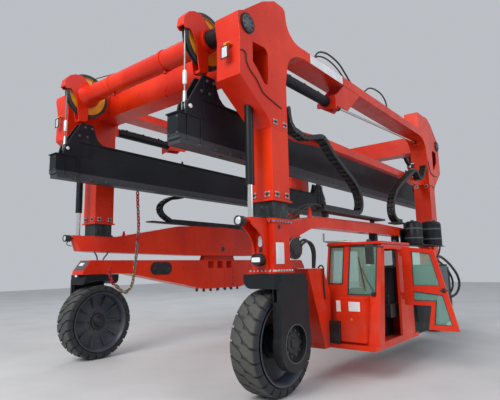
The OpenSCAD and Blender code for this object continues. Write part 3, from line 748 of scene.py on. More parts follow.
def forkShape():
    f = forkForm
    axle, opening = f["axle"], f["opening"]
    crown = carved(slab((-185, 336), (-330, 330), (1264, 1434)), [disc("x", 0, axle, 700, -200, 341, 96)],
                   [disc("z", 0, 0, 430, 1200, 1500, 64), bar(f["crown"], "y", -331, 331)])
    notches = [slab((240, 285), y, (1114, 1263)) for y in ((-301, -240), (240, 301))]
    leg = carved(bar(f["leg"], "x", 225, 340), [disc("x", 0, axle, opening, 275, 341, 64), *notches])
    shape = joined(crown, leg, disc("z", 0, 0, 150, 1433, 1440.5), disc("x", 0, axle, 140, -75, 276),
                   disc("x", 0, axle, 200, -34, 20))
    shape.dye(1).lathe([(opening + 9, 338), (opening + 7, 341.5), (213, 341.5)], (0, 0, axle), "x", 56)
    shape.dye(2).lathe(f["motor"], (0, 0, axle), "x", 48)
    shape.dye(3)
    for y, z in around(10, 147):
        shape.bolt((283, y, axle + z), "x", 24)
    return shape


for key in corners:
    forkShape().scaled(cornerMatrix(key)).make(
        "forkBody_" + key, "steer_" + key, [darkPaint, greyPaint, chainPlastic, studSteel], ["fork_" + key],
        "dark_paint", bevel=0.003)
print("forks made")


# upper beam and rocker of the left side
leftForm = {
    "beam": [(-3655, 2105), (-3655, 2055), (-3555, 1845), (-3145, 1827), (-900, 1785), (0, 1785)],
    "hump": [(2890, 2105), (1340, 2393), (900, 2423), (0, 2440)],
    "plan": [(-60, -3655), (60, -3655), (175, -3360), (175, 3360), (60, 3655), (-60, 3655), (-175, 3360),
             (-175, -3360)],
    "rocker": [(0, 1685), (-3380, 1685), (-3520, 1500), (-3530, 1440), (-2600, 1440), (-600, 1055), (0, 1055)],
    "lug": [(-540, 1684), (-480, 1805), (-150, 1979), (-90, 2059)],
    "half": 175,
    "ovals": (-1820, 1820),
    "ovalZ": 1520,
    "pivotZ": 1939,
}
leftPlace = Matrix.Translation((-legX, 0, 0))


def sideBeamShape():
    f = leftForm
    outline = [*bothHalves(f["beam"]), *bothHalves(f["hump"])]
    void = slab((-66, 66), (-546, 546), (1784, 2089))
    beam = carved(bar(outline, "x", -f["half"], f["half"]), [void], [bar(f["plan"], "z", 1700, 2500)])
    shape = joined(beam, bar([(-2760, 2090), (-2660, 2090), (-2695, 2225), (-2720, 2225)], "x", 135, 155))
    for y in (-3580, 3580):
        shape.block((-60, y - 70, 2104), (60, y + 70, 2116))
    return shape


def ovalAt(y, r, x, thick):
    z = leftForm["ovalZ"]
    return bar([*arc(y + 150, z, r, r, -90, 90, 12), *arc(y - 150, z, r, r, 90, 270, 12)], "x", x, x + thick)


def rockerShape():
    f = leftForm
    half, z = f["half"], f["ovalZ"]
    ovals = [ovalAt(y, 130, x, 11) for x in (-half - 1, half - 10) for y in f["ovals"]]
    slots = [slab((-half - 1, half + 1), (i * 304 - 192, i * 304 - 2), (1505, 1665)) for i in (-1, 0, 1)]
    body = carved(bar(bothHalves(f["rocker"]), "x", -half, half), [*ovals, *slots])
    shape = joined(body, bar(bothHalves(f["lug"]), "x", -60, 60))
    for y in (-250, 55, 350):
        for x in (-183, 174):
            shape.block((x, y - 12, 1095), (x + 9, y + 12, 1495))
    shape.dye(4)
    for x in (-110, 110):
        for y in (-570, -350, -130, 130, 350, 570):
            shape.lathe([(28, 61), (28, 3), (24, -1), (0, -1)], (x, y, 995), "z", 20)
    # black plates in the oval holes: painted shade, standing in for the dark inside of the hollow rocker
    for x in (-171, 165):
        for y in f["ovals"]:
            shadePlate = ovalAt(y, 124, x, 6)
            shape.add(shadePlate.points, shadePlate.faces)
    shape.dye(1)
    for y in f["ovals"]:
        for dy in (-185, 185):
            shape.bolt((165, y + dy, z), "x", 34).bolt((-165, y + dy, z), "-x", 34)
    # sloped end plate over the front wheel, its lamp and the one below
    shape.dye(2).prism([(-3388, 1672), (-3512, 1512), (-3519, 1517), (-3395, 1677)], "x", -150, 150)
    shape.dye(3).prism([(-3430, 1634), (-3468, 1585), (-3480, 1594), (-3442, 1643)], "x", -60, 60)
    shape.dye(4).block((-70, -3545, 1395), (60, -3440, 1441))
    return shape.dye(3).block((-45, -3550, 1402), (20, -3545, 1434))


sideBeamShape().scaled(leftPlace).make(
    "sideBeam", "left_frame", redPaint, ["side_beam_left"], "red_paint", bevel=0.004)
rockerShape().scaled(leftPlace).make(
    "rockerBeam", "left_frame", [redPaint, studSteel, greyPaint, signWhite, chainPlastic], ["rocker_left"],
    "red_paint", bevel=0.004)
shape = Shape().lathe([(0, 187), (58, 187), (62, 182), (66, 176)], (0, 0, leftForm["pivotZ"]), "x", 6)
shape.dye(1).lathe([(244, 175), (244, 178), (236, 178), (236, 175)], (0, 0, leftForm["pivotZ"]), "x", 64)
shape.scaled(leftPlace).make("pivotBoss", "left_frame", [chainPlastic, redPaint])
print("left side made")


# cab: frame, body with its openings, roof, panes and door
cabForm = {
    "front": 1980, "lean": 270, "base": 470, "eaves": 1810, "top": 1850,
    "x": (1945, 2780),
    "wall": 40,
    "doorWide": 745,
    "hinge": (2806, -1080),
    "hingeZ": (1010, 1640),
    "windowZ": (1150, 1740),
    "rearPane": ((2035, 2690), (1410, 1740)),
    "panes": ((1980, 2215, 1250), (2295, 2720, 1107)),      # left, right and sill of the windscreen's two panes
    "paneTop": 1795,
}
hingeX, hingeY = cabForm["hinge"]


def screenY(z):
    f = cabForm
    return -(f["front"] - f["lean"] * (z - f["base"]) / (f["eaves"] - f["base"]))


def sloped(x, z, depth):
    (low, high), (near, far) = z, depth
    outline = [(screenY(low) + near, low), (screenY(high) + near, high), (screenY(high) + far, high),
               (screenY(low) + far, low)]
    return bar(outline, "x", *x)


def screenPanes(depth):
    return [sloped((left, right), (sill, cabForm["paneTop"]), depth) for left, right, sill in cabForm["panes"]]


def sideWindow():
    low, high = cabForm["windowZ"]
    return [(screenY(low) + 150, low), (screenY(high) + 120, high), (-720, high), (-720, low)]


def doorEdge(z):
    return 480 + (cabForm["doorWide"] - 480) * (1718 - z) / 1118


doorWindows = [
    [(165, 1212), (165, 1700), (doorEdge(1664) - 70, 1664), (doorEdge(1212) - 70, 1212)],
    [(165, 1000), (165, 1130), (doorEdge(1080) - 70, 1080), (doorEdge(675) - 70, 675), (425, 675), (465, 1000)],
]


def cabShape():
    f = cabForm
    base, eaves, top, (left, right) = f["base"], f["eaves"], f["top"], f["x"]
    shell = bar([(-1980, base), (screenY(eaves), eaves), (-600, eaves), (-600, base)], "x", left, right)
    wall = f["wall"]
    room = bar([(-1940, base - 1), (screenY(top) + 40, top), (-640, top), (-640, base - 1)],
               "x", left + wall, right - wall)
    doorway = bar([(screenY(500) + 190, 500), (screenY(1740) + 110, 1740), (-1110, 1740), (-1110, 500)],
                  "x", right - wall - 1, right + 1)
    side = bar(sideWindow(), "x", left - 1, left + wall + 1)
    rear = slab(f["rearPane"][0], (-641, -599), f["rearPane"][1])
    shape = carved(shell, [room, doorway, *screenPanes((-80, 80)), side, rear])
    shape = joined(shape, bar([(-2040, 500), (-2040, 1080), (-1840, 1100), (-1840, 500)], "x", 2215, 2630))
    for z in f["hingeZ"]:
        shape.block((right - 1, hingeY - 8, z + 51), (hingeX, hingeY + 8, z + 100))
        shape.lathe([(0, 50), (15, 50), (15, 0)], (hingeX, hingeY, z + 51), "z", 20)
    return shape


def doorShape():
    outline = [(22, 934), (22, 1778), (480, 1718), (cabForm["doorWide"], 600), (340, 600), (400, 934)]
    shape = carved(bar(outline, "y", -20, 20), [bar(window, "y", -30, 30) for window in doorWindows])
    for z in cabForm["hingeZ"]:
        shape.lathe([(0, 50), (15, 50), (15, 0), (0, 0)], (0, 0, z), "z", 20)
        shape.block((0, -8, z), (23, 8, z + 50))
    return shape


cabShape().scaled().make("cabBody", "right_frame", redPaint, ["cab_body"], "red_paint", bevel=0.004)
joined(
    slab((1705, 2780), (-2085, -440), (410, 470)),
    slab((1845, 2125), (-2240, -2084), (410, 470)),
    bar([(-2235, 469), (-2610, 1485), (-2200, 1485), (-2030, 1150), (-2030, 469)], "x", 1760, 2125),
).scaled().make("cabFrame", "right_frame", redPaint, ["cab_floor"], "red_paint", bevel=0.004)
roofY = screenY(cabForm["eaves"])
shape = bar([(roofY - 30, 1812), (roofY, 1850), (-610, 1850), (-590, 1812)], "x", 1935, 2784)
shape.dye(1).prism([(roofY - 26, 1803), (roofY - 30, 1812), (-588, 1812), (-592, 1803)], "x", 1939, 2782)
shape.scaled().make("cabRoof", "right_frame", [redPaint, chainPlastic], ["cab_roof"], "red_paint", bevel=0.003)
joined(*screenPanes((12, 20)), bar(sideWindow(), "x", 1957, 1965),
       slab(cabForm["rearPane"][0], (-620, -612), cabForm["rearPane"][1])).scaled().make(
    "cabPanes", "right_frame", glassPane, ["cab_glass"], "cab_glass")
doorPlace = Matrix.Translation((0.001 * hingeX, 0.001 * hingeY, 0))
doorShape().scaled(doorPlace).make("doorFrame", "door", redPaint, ["cab_door"], "red_paint", bevel=0.003)
joined(*[bar(window, "y", -4, 4) for window in doorWindows]).scaled(doorPlace).make(
    "doorPanes", "door", glassPane, ["door_glass"], "cab_glass")
# pipe beside the cab, roof fittings and the cables on the rear head
pipe = [(1900, -1750, 2000), (1900, -1750, 1880), (1960, -1740, 1866), (2300, -1640, 1866), (2300, -1640, 1851)]
shape = Shape().tube(pipe, 16, 12).dye(1)
for x, y in ((2120, -1500), (2480, -1450), (2650, -900)):
    shape.lathe([(0, 46), (26, 42), (34, 20), (34, -2)], (x, y, 1852), "z", 20)
shape.scaled().make("roofFittings", "right_frame", [zinc, chainPlastic], bevel=0.002)
shape = Shape()
for i in range(4):
    x = 1738 + 16 * i
    route = [(x + 4, 2960, 3960 - 10 * i), (x, 2940, 3830), (x - 3, 2945, 3640), (x, 2955, 3480)]
    shape.tube(smoothPath(route, 16), 9, 8)
shape.dye(1)
for z in (3580, 3760, 3900):
    shape.block((1730, 2930, z), (1806, 2971, z + 22))
shape.scaled().make("headCables", "gantry", [hoseRubber, zinc], bevel=0.001)
print("cab made")


# lifting beams with end boxes and rope hangers
beamForm = {
    "hanger": [(73, -275), (33, -110), (-232, 320), (-437, 320), (-482, 190), (-527, 90), (-597, 30),
               (-697, -15), (-697, -60), (-237, -275)],
    "chord": [(-105, 2960), (105, 2960), (105, 3010), (85, 3080), (-85, 3080), (-105, 3010)],
    "half": 4300,
    "top": 3610,
    "ropeY": 4137,
    "pinZ": 3020,
}


def liftingBeamShape():
    f = beamForm
    rope, top = f["ropeY"], f["top"]
    bores = [disc("z", 0, y, 25, 2950, 3090, 20) for y in (-3500, -2300, 2300, 3500)]
    shape = joined(
        slab((-85, 85), (-3940, 3940), (3060, 3600)),
        slab((-105, 105), (-3938, 3938), (3588, top)),
        carved(bar(f["chord"], "y", -f["half"], f["half"]), bores),
    )
    mark = shape.mark()
    shape.block((-104, 3936, 3020), (104, 4320, 3338)).block((-117, 4000, 3326), (117, 4340, 3341))
    for y in (3960, 4190):
        shape.block((-117, y, 3020), (117, y + 16, 3337))
    for x in (-90, 60):
        shape.prism([(rope + u, top + v) for u, v in f["hanger"]], "x", x, x + 30)
        for y in (3717, 3887):
            shape.block((x - 10, y, 3341), (x + 40, y + 14, 3860))
    shape.dye(1)
    for r, half in ((45, 30), (18, 50)):
        shape.prism(arc(rope - 10, f["pinZ"], r, r, 0, 345, 23), "x", -half, half)
    shape.copies([Matrix.Identity(4), Matrix.Diagonal((1, -1, 1, 1))], mark)
    return shape.dye(0).prism([(-1640, 3609), (-1560, 3609), (-1590, 3690), (-1612, 3690)], "x", -8, 8)


for sx, word in words.items():
    liftingBeamShape().scaled(Matrix.Translation((sx * hoistX, 0, 0))).make(
        "liftingBeam_" + word, "lifting_" + word, [beamPaint, studSteel], ["lifting_beam_" + word], bevel=0.003)


# hoist cylinders with their glands, rods and brackets
hoistForm = {"z": 4135, "barrel": 77, "low": -2814, "gland": (-1560, -1130), "rodEnd": 4358, "rodR": 22}


def hoistShape():
    f = hoistForm
    z, r, (gland, glandEnd) = f["z"], f["barrel"], f["gland"]
    shape = Shape()

    def ring(profile, steps=32):
        shape.lathe(profile, (0, 0, z), "y", steps)

    ring([(0, gland), (r + 8, gland), (r + 8, -1620), (r, -1622), (r, f["low"]), (0, f["low"])], 40)
    for y in (-2600, -2200, -1800):
        shape.block((-14, y - 20, z + 60), (14, y + 20, z + 104))
    ring([(0, glandEnd), (46, glandEnd), (46, gland)])
    shape.dye(1).tube([(0, -2740, z + 70), (0, -2700, z + 92), (0, -1700, z + 92), (0, -1660, z + 70)], 11, 10)
    shape.tube([(0, glandEnd - 2, z + 11), (0, 2740, f["rodEnd"])], f["rodR"], 20)
    for y in (-1420, -1290):
        ring([(47, y + 24), (50, y + 22), (50, y + 2), (47, y)])
    shape.dye(2)
    ring([(47, -1200), (52, -1204), (52, -1232), (47, -1236)])
    cap = [(0, 2754), (25, 2754), (34, 2748), (34, 2690), (22, 2680)]
    return shape.dye(0).lathe(cap, (0, 0, f["rodEnd"]), "y", 24)


sides = [Matrix.Translation((s * legX, 0, 0)) @ Matrix.Diagonal((s, 1, 1, 1)) for s in (-1, 1)]
hoistShape().scaled(*sides).make(
    "hoistCylinders", "gantry", [darkPaint, rodChrome, redPaint], ["hoist_cylinders"], bevel=0.002)
plate = carved(bar([(-165, 4058), (-165, 4116), (-90, 4215), (180, 4215), (180, 3978)], "y", -1560, -1530),
               [disc("y", 0, hoistForm["z"], 48, -1570, -1520)])
for x in (-90, 160):
    plate.prism([(-1531, 4030), (-1531, 4215), (-1250, 4454), (-650, 4454), (-1130, 4060)], "x", x, x + 20)
plate.scaled(*sides).make("hoistBrackets", "gantry", redPaint, bevel=0.003)


# power pack with louvres, canisters, trays and the small fittings
packForm = {
    "x": (1845, 2650), "y": (-440, 1900), "z": (380, 1500),
    "wall": 40,
    "louvres": (670, 1290, 68),
    "canisters": ((2250, 1200, 175, 465), (2285, 2250, 205, 530)),      # place, radius and height
    "shelf": 1890,
    "shelfLow": (2055, 1000, 1875), "shelfEnds": ((2480, 2480, 1891), (2069, 2480, 2180)),
}


def packShape():
    f = packForm
    wall, (a, b), (c, d), (e, g) = f["wall"], f["x"], f["y"], f["z"]
    shape = carved(slab(f["x"], f["y"], f["z"]), [
        slab((a + wall, b - wall), (c + wall, d - wall), (e + wall, g - wall)),
        slab((a - 1, a + wall + 1), (200, 1700), (700, 1300)),
        slab((b - 24, b + 1), (780, 1780), (640, 1320)),
    ])
    for z in range(*f["louvres"]):
        shape.prism([(b - 25, z + 30), (b - 25, z + 18), (b - 3, z - 12), (b - 3, z)], "y", 779, 1781)
    for y in (40, 1100):
        shape.block((a + 10, y - 60, g - 1), (a + 130, y + 60, 2065))
    shape.dye(1)
    for y in (c + 20, 740, 1820):
        for z in (e + 40, 900, g - 40):
            shape.bolt((b, y, z), "x", 24)
    return shape.block((b, 120, 980), (b + 12, 150, 1100))


def canisterShape():
    shape = Shape()
    for x, y, r, h in packForm["canisters"]:
        foot = (x, y, packForm["shelf"])
        dome = [(0, h), (0.55 * r, h - 2), (0.85 * r, h - 22), (r, h - 62)]
        shape.dye(0).lathe([*dome, (r, 0), (0, 0)], foot, "z", 48).dye(1)
        for low in (0.25 * h, 0.65 * h):
            shape.lathe([(r, low + 30), (r + 5, low + 29), (r + 5, low + 1), (r, low)], foot, "z", 48)
        shape.lathe([(0, h + 26), (30, h + 26), (34, h + 20), (34, h - 4)], foot, "z", 24)
    for high in packForm["shelfEnds"]:
        shape.dye(0).block(packForm["shelfLow"], high)
    return shape


packShape().scaled().make("powerPack", "right_frame", [darkPaint, studSteel], ["power_pack"], bevel=0.003)
canisterShape().scaled().make("canisterPair", "right_frame", [darkPaint, greyPaint], ["canisters"], bevel=0.002)
noseDrum = [disc("y", 0, 2058, 59, 540, 624, 28), slab((-15, 15), (500, 560), (2048, 2068))]
joined(disc("y", 0, 1606, 77, 210, 304, 32), *noseDrum).scaled(cornerMatrix("a")).make(
    "lampDrums_right", "right_frame", chainPlastic, bevel=0.003)
joined(*noseDrum).scaled(cornerMatrix("b")).make("lampDrum_left", "left_frame", chainPlastic, bevel=0.003)
filterAt = (0, -2845, 1745)
filterForm = [(0, 2130), (92, 2130), (100, 2124), (100, 2115), (135, 2114), (135, 2056), (90, 2055), (90, 1855)]
shape = Shape().lathe(filterForm, filterAt, "x", 40).block((1895, -2984, 1715), (1975, -2845, 1775))
shape.block((2126, -2100, 471), (2275, -2041, 770)).block((1980, 620, 2290), (2180, 1000, 2320))
shape.dye(1).lathe([(136, 2098), (139, 2096), (139, 2084), (136, 2082)], filterAt, "x", 40)
shape.scaled().make("sideFittings", "right_frame", [chainPlastic, zinc], bevel=0.003)
valveForm = {
    "groups": ((-1250, 160), (-300, 140), (900, 160)),      # place along the beam and half length
    "spools": (-60, 30),
}
shape = Shape()
for y, half in valveForm["groups"]:
    spool = [(0, half - 40), (34, half - 40), (37, half - 46), (37, 20 - half), (30, 12 - half), (0, 10 - half)]
    shape.dye(0).block((-110, y - half, 0), (90, y + half, 50))
    for x in valveForm["spools"]:
        shape.dye(0).block((x - 15, y - half + 40, 49), (x + 15, y + half - 60, 70))
        shape.dye(1).lathe(spool, (x, y, 90), "y", 28)
        shape.dye(2).lathe([(38, half - 70), (38, half - 110)], (x, y, 90), "y", 28)
    shape.dye(0)
    for i in range(3):
        shape.block((-20, y - 90 + 70 * i, 50), (8, y - 60 + 70 * i, 120))
shape.scaled(Matrix.Translation((legX, 0, highOf("top_beams").z + 0.0004))).make(
    "valveGroups", "gantry", [chainPlastic, greyPaint, signWhite], ["valve_blocks"], bevel=0.002)


# cab interior: padded seat, console, column and wheel, seals and trim
seatForm = {
    "x": 2382, "cushion": (460, 500, 120), "back": (440, 600, 105), "crown": 26, "fill": 0.75,
    "arms": 275, "wheelR": 170,
}


def padShape(size, crown, steps=14):
    # crowned pad whose sides pull in between its corners
    hx, hy, hz = (0.5 * s for s in size)
    found, points, faces = {}, [], []
    grid = [(i, j) for i in range(steps + 1) for j in range(steps + 1)]
    for face in (1, -1):
        for i, j in grid:
            u, v = 2 * i / steps - 1, 2 * j / steps - 1
            edge = i in (0, steps) or j in (0, steps)
            if edge and face < 0:
                found[face, i, j] = found[1, i, j]
                continue
            fall = (1 - u**8) * (1 - v**8)
            seam = 5 * (abs(abs(u) - 0.45) < 0.04) if face > 0 else 0
            z = face * (hz * fall**0.4 + (crown if face > 0 else 3) * (1 - u * u) * (1 - v * v)) - seam
            found[face, i, j] = len(points)
            x, y = hx * u * (1 - 0.05 * (1 - v * v)), hy * v * (1 - 0.05 * (1 - u * u))
            points.append((x, y, 0 if edge else z))
    for face in (1, -1):
        for i, j in grid:
            if i < steps and j < steps:
                ring = ((i, j), (i + 1, j), (i + 1, j + 1), (i, j + 1))
                faces.append([found[face, p, q] for p, q in ring][::face])
    return Shape().add(points, faces)


lean = Matrix.Rotation(radians(82), 4, "X")
seat = padShape(seatForm["cushion"], seatForm["crown"]).scaled(Matrix.Translation((2.382, -1.040, 0.822)))
seat = seat.make("seatCushion", "right_frame", seatFabric, ["cab_seat"], "seat_fabric", sharp=70)
seat = padShape(seatForm["back"], seatForm["crown"]).scaled(Matrix.Translation((2.382, -0.800, 1.170)) @ lean)
seat = seat.make("seatBack", "right_frame", seatFabric, sharp=70)
x = seatForm["x"]
shape = Shape().block((x - 170, -1180, 470), (x + 170, -880, 765))
shape.block((x - 60, -1720, 470), (x + 60, -1620, 1070))
for armX in (x - seatForm["arms"], x + seatForm["arms"]):
    shape.block((armX - 45, -1330, 760), (armX + 45, -850, 950))
    shape.tube([(armX, -1270, 950), (armX, -1285, 1050)], 9, 8)
    shape.lathe([(0, 34), (16, 30), (21, 14), (12, 0)], (armX, -1286, 1046), "z", 16)
shape.block((x - 340, -1820, 470), (x + 340, -1700, 930))
shape.prism([(-1860, 930), (-1700, 930), (-1680, 1030), (-1780, 1060)], "x", x - 250, x + 250)
mark = shape.mark()
r = seatForm["wheelR"]
shape.tube([(u, v, 0) for u, v in around(36, r)], 13, 8, closed=True)
shape.block((-r, -15, -8), (r, 15, 8)).lathe([(0, 6), (34, 4), (34, -100), (0, -100)], (0, 0, 0), "z", 20)
shape.copies([Matrix.Translation((x, -1600, 1120)) @ Matrix.Rotation(radians(-25), 4, "X")], mark)
shape.scaled().make("cabInterior", "right_frame", chainPlastic, bevel=0.003)


def onScreen(*places):
    # points given by x, z and how far they stand off the windscreen
    return [(x, screenY(z) - off, z) for x, z, off in places]


shape = Shape()
for x0, x1, z0 in cabForm["panes"]:
    z1, wide = cabForm["paneTop"], 14
    strips = [((x0, x1), (z0, z0 + wide)), ((x0, x1), (z1 - wide, z1)), ((x0, x0 + wide), (z0, z1)),
              ((x1 - wide, x1), (z0, z1))]
    shape = joined(shape, *[sloped(xs, zs, (-3, 11)) for xs, zs in strips])
shape.tube(onScreen((2700, 1140, 14), (2580, 1330, 16), (2500, 1480, 12)), 6, 8)
shape.tube(onScreen((2560, 1180, 12), (2440, 1640, 12)), 7, 8)
shape.block((2660, screenY(1120) - 26, 1100), (2716, screenY(1120) - 2, 1150))
shape.scaled().make("screenSeals", "right_frame", chainPlastic)
shape = Shape()
for window in doorWindows:
    for y in (-16, 16):
        shape.tube([(u, y, v) for u, v in window], 7, 6, closed=True)
shape.block((560, -34, 1120), (600, -20, 1180))
shape.tube([(540, -30, 1150), (540, -52, 1150), (640, -52, 1150), (640, -30, 1150)], 7, 8)
shape.scaled(doorPlace).make("doorSeals", "door", chainPlastic)
print("fittings and cab interior made")


# wheels: solid tyres with angled lugs, dished rims
tyreForm = {
    "lugs": 24,
    "lugHeight": 0.016,
    "lugShare": 0.80,      # of the pitch that a lug takes
    "sweep": 0.085,        # how far a lug leans along the tread
    "shoulder": 0.060,
    "skirt": 0.095,        # how far a lug runs down the sidewall
    "beadR": 0.500,
    "seatHalf": 0.165,
}


def tyreShape():
    f = tyreForm
    r, side, h, bead, skirt = tyreR, tyreHalf, f["lugHeight"], f["beadR"], tyreR - f["skirt"]
    halfProfile = [(r - h, side - 0.09), (r - h - 0.004, side - 0.055), (r - 0.055, side - 0.016),
                   (skirt, side - 0.006), (bead + 0.03, side - 0.006), (bead + 0.012, side - 0.012),
                   (bead, f["seatHalf"])]
    shape = Shape().lathe([*halfProfile[::-1], *[(u, -v) for u, v in halfProfile]], (0, 0, 0), "x", 96)
    # a lug is a strip from low on the sidewall, over the shoulder, to the tread's middle
    rib = [(skirt, -side + 0.001, 0.0), (r - f["shoulder"], -side, 0.0), (r - 0.028, -side + 0.008, 0.0),
           (r - 0.006, -side + 0.032, 0.006), (r, -side + 0.06, 0.014), (r, -0.085, 0.05), (r, -0.035, 0.075),
           (r, 0.012, f["sweep"] + 0.02)]
    last = len(rib) - 1
    pitch = 2 * pi / f["lugs"]
    half = pitch * f["lugShare"] / 2
    for s in (-1, 1):
        for i in range(f["lugs"]):
            middle = (i + (0.5 if s > 0 else 0)) * pitch
            points = []
            for j, (radius, x, lean) in enumerate(rib):
                narrow = half * (1 - 0.10 * (j == 0) - 0.45 * (j == last) - 0.12 * (j == last - 1))
                for level in (0, -0.030):
                    for edge in (-1, 1):
                        angle = middle + edge * narrow + s * lean / r
                        away = radius + level - (0.004 if level == 0 and j == 0 else 0)
                        inset = 0.030 if level and j < 3 else 0
                        points.append((s * -(x + inset), away * cos(angle), away * sin(angle)))
            faces = []
            for a, b in zip(range(0, 4 * last, 4), range(4, 4 * last + 4, 4)):
                faces += [(a, b, b + 1, a + 1), (b + 2, b, a, a + 2), (b + 1, b + 3, a + 3, a + 1)]
            n = len(points)
            faces += [(0, 1, 3, 2), (n - 4, n - 2, n - 1, n - 3)]
            shape.add(points, [face[::-s] for face in faces])
    return shape


rimForm = {
    "lipR": 0.505,
    "hubR": 0.1405,
    "boltR": 0.1675,
    "bolts": 10,
    "ribs": 10,
    "rib": [(-0.060, 0.225), (-0.030, 0.445), (-0.118, 0.449), (-0.085, 0.300)],
    "boss": [(0.132, -0.064), (0.128, -0.082), (0.092, -0.092), (0.080, -0.118), (0.074, -0.128),
             (0.050, -0.130), (0.046, -0.140), (0, -0.142)],
}


def rimShape():
    # built with X outboard; the dish opens towards the machine's middle
    f = rimForm
    lip, hub, side = f["lipR"], f["hubR"], tyreHalf
    edge = [(0.470, side - 0.010), (lip - 0.018, side + 0.006), (lip, side + 0.004), (lip - 0.004, side - 0.004)]
    well = [*[(r, -x) for r, x in edge[::-1]],
            (0.452, -0.120), (0.448, -0.060), (0.400, -0.040), (0.250, -0.052), (0.215, -0.066), (hub, -0.066),
            (hub, -0.030), (0.215, -0.030), (0.250, -0.020), (0.400, -0.010), (0.448, 0.020), (0.452, 0.120),
            *edge]
    shape = Shape().lathe(well, (0, 0, 0), "x", 72)
    mark = shape.mark()
    shape.prism(f["rib"], "y", -0.008, 0.008)
    shape.copies([Matrix.Rotation(2 * pi * (i + 0.5) / f["ribs"], 4, "X") for i in range(f["ribs"])], mark)
    shape.dye(1)
    for y, z in around(f["bolts"], f["boltR"]):
        shape.bolt((-0.066, y, z), "-x", 0.032, 0.024)
    return shape.dye(2).lathe(f["boss"], (0, 0, 0), "x", 40)


for key in corners:
    at = cornerMatrix(key, axleZ)
    tyreShape().copies([at]).make(
        "tyreTread_" + key, "wheel_" + key, tyreRubber, ["tyre_" + key], "tyre_rubber", sharp=28)
    rimShape().copies([at]).make(
        "rimDish_" + key, "wheel_" + key, [rimPaint, studSteel, chainPlastic], ["rim_" + key], "rim_paint")
print("wheels made")


# wear-pad bolt groups on the leg tubes
padForm = {
    "rows": (0.085, 1.010),   # above the tube's foot
    "apart": 0.105,           # from the tube's middle
    "plate": 0.038,
    "thick": 0.008,
    "boltAt": 0.023,
    "boltWidth": 0.022,
}


def legPads(key):
    f = padForm
    plate, at, front = f["plate"], f["boltAt"], -legHalf - f["thick"]
    shape = Shape()
    for row in f["rows"]:
        for x in (-f["apart"], f["apart"]):
            z = tubeLow + row
            shape.dye(0).block((x - plate, front, z - plate), (x + plate, 0.002 - legHalf, z + plate)).dye(1)
            for u, v in ((-at, -at), (-at, at), (at, -at), (at, at)):
                shape.bolt((x + u, front, z + v), "-y", f["boltWidth"])
            shape.dye(2).bolt((x, front, z), "-y", f["boltWidth"] * 1.3, 0.02)
    return shape.copies([cornerMatrix(key) @ Matrix.Rotation(quarter * pi / 2, 4, "Z") for quarter in range(4)])


for key in corners:
    legPads(key).make("padBolts_" + key, "gantry", [redPaint, zinc, hoseRubber], slot="red_paint", bevel=0.0015)


# rows of studs on the base flanges
shape = Shape()
for side in (-0.190, 0.190):
    for t in [-0.175 + 0.35 * i / 6 for i in range(7)]:
        for z, axis in ((highOf("bases_right").z - 0.025, "-z"), (lowOf("bases_right").z + 0.025, "z")):
            shape.bolt((t, side, z), axis, 0.026, 0.02).bolt((side, t, z), axis, 0.026, 0.02)
shape.copies([cornerMatrix("a"), cornerMatrix("c")]).make("baseStuds", "right_frame", zinc)
print("bolts made")


# ropes over the sheaves down to the lifting beams
ropeForm = {"radius": 0.013, "grooveR": 0.3563}


def ropeRun(x):
    shape = Shape()
    for sy in (-1, 1):
        path = [(x, sy * ropeY, ropeFoot + i * (shaftZ - ropeFoot) / 12) for i in range(13)]
        for u, v in arc(shaftY, shaftZ, ropeForm["grooveR"], ropeForm["grooveR"], 7.5, 180, 23):
            path.append((x, sy * u, v))
        shape.tube(path, ropeForm["radius"], 8)
    return shape


for sx, word in words.items():
    rope = ropeRun(sx * hoistX).make(
        "ropeRun_" + word, None, ropeSteel, ["ropes_" + word], "rope_steel", free=True)
    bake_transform(rope)


# energy chains: side plates, cross bars and the cables inside them
chainForm = {
    "tall": 0.068, "bar": 0.030, "barThick": 0.007, "plate": 0.011,
    "cables": (-0.042, -0.018, 0.020, 0.044), "cableR": 0.011,
}


def chainLinks(points, node, count):
    f = chainForm
    low, high = lowOf(node).x, highOf(node).x
    middle, h, plate, wide = (low + high) / 2, f["tall"] / 2, f["plate"], f["bar"] / 2
    path = smoothPath([(0, y, z) for y, z in points], count + 1)
    shape = Shape()
    for p, q in zip(path, path[1:]):
        along = (q - p).normalized()
        up = Vector((1, 0, 0)).cross(along).normalized()
        turn = Matrix(((1, along.x, up.x), (0, along.y, up.y), (0, along.z, up.z))).to_4x4()
        mark, reach = shape.mark(), (q - p).length * 0.54
        half = [(-reach, -h * 0.55), (-reach * 0.8, -h), (reach * 0.8, -h), (reach, -h * 0.55)]
        ends = [*half, *[(u, -v) for u, v in half[::-1]]]
        for x in (low - middle, -plate / 2, high - middle - plate):
            shape.prism(ends, "x", x, x + plate)
        for z in (-h, h - f["barThick"]):
            shape.block((low - middle, -wide, z), (high - middle, wide, z + f["barThick"]))
        shape.copies([Matrix.Translation((p + q) / 2) @ turn], mark)
    shape.copies([Matrix.Translation((middle, 0, 0))]).dye(1)
    for x in f["cables"]:
        shape.tube([(middle + x, p.y, p.z - 0.008) for p in path], f["cableR"], 8)
    return shape


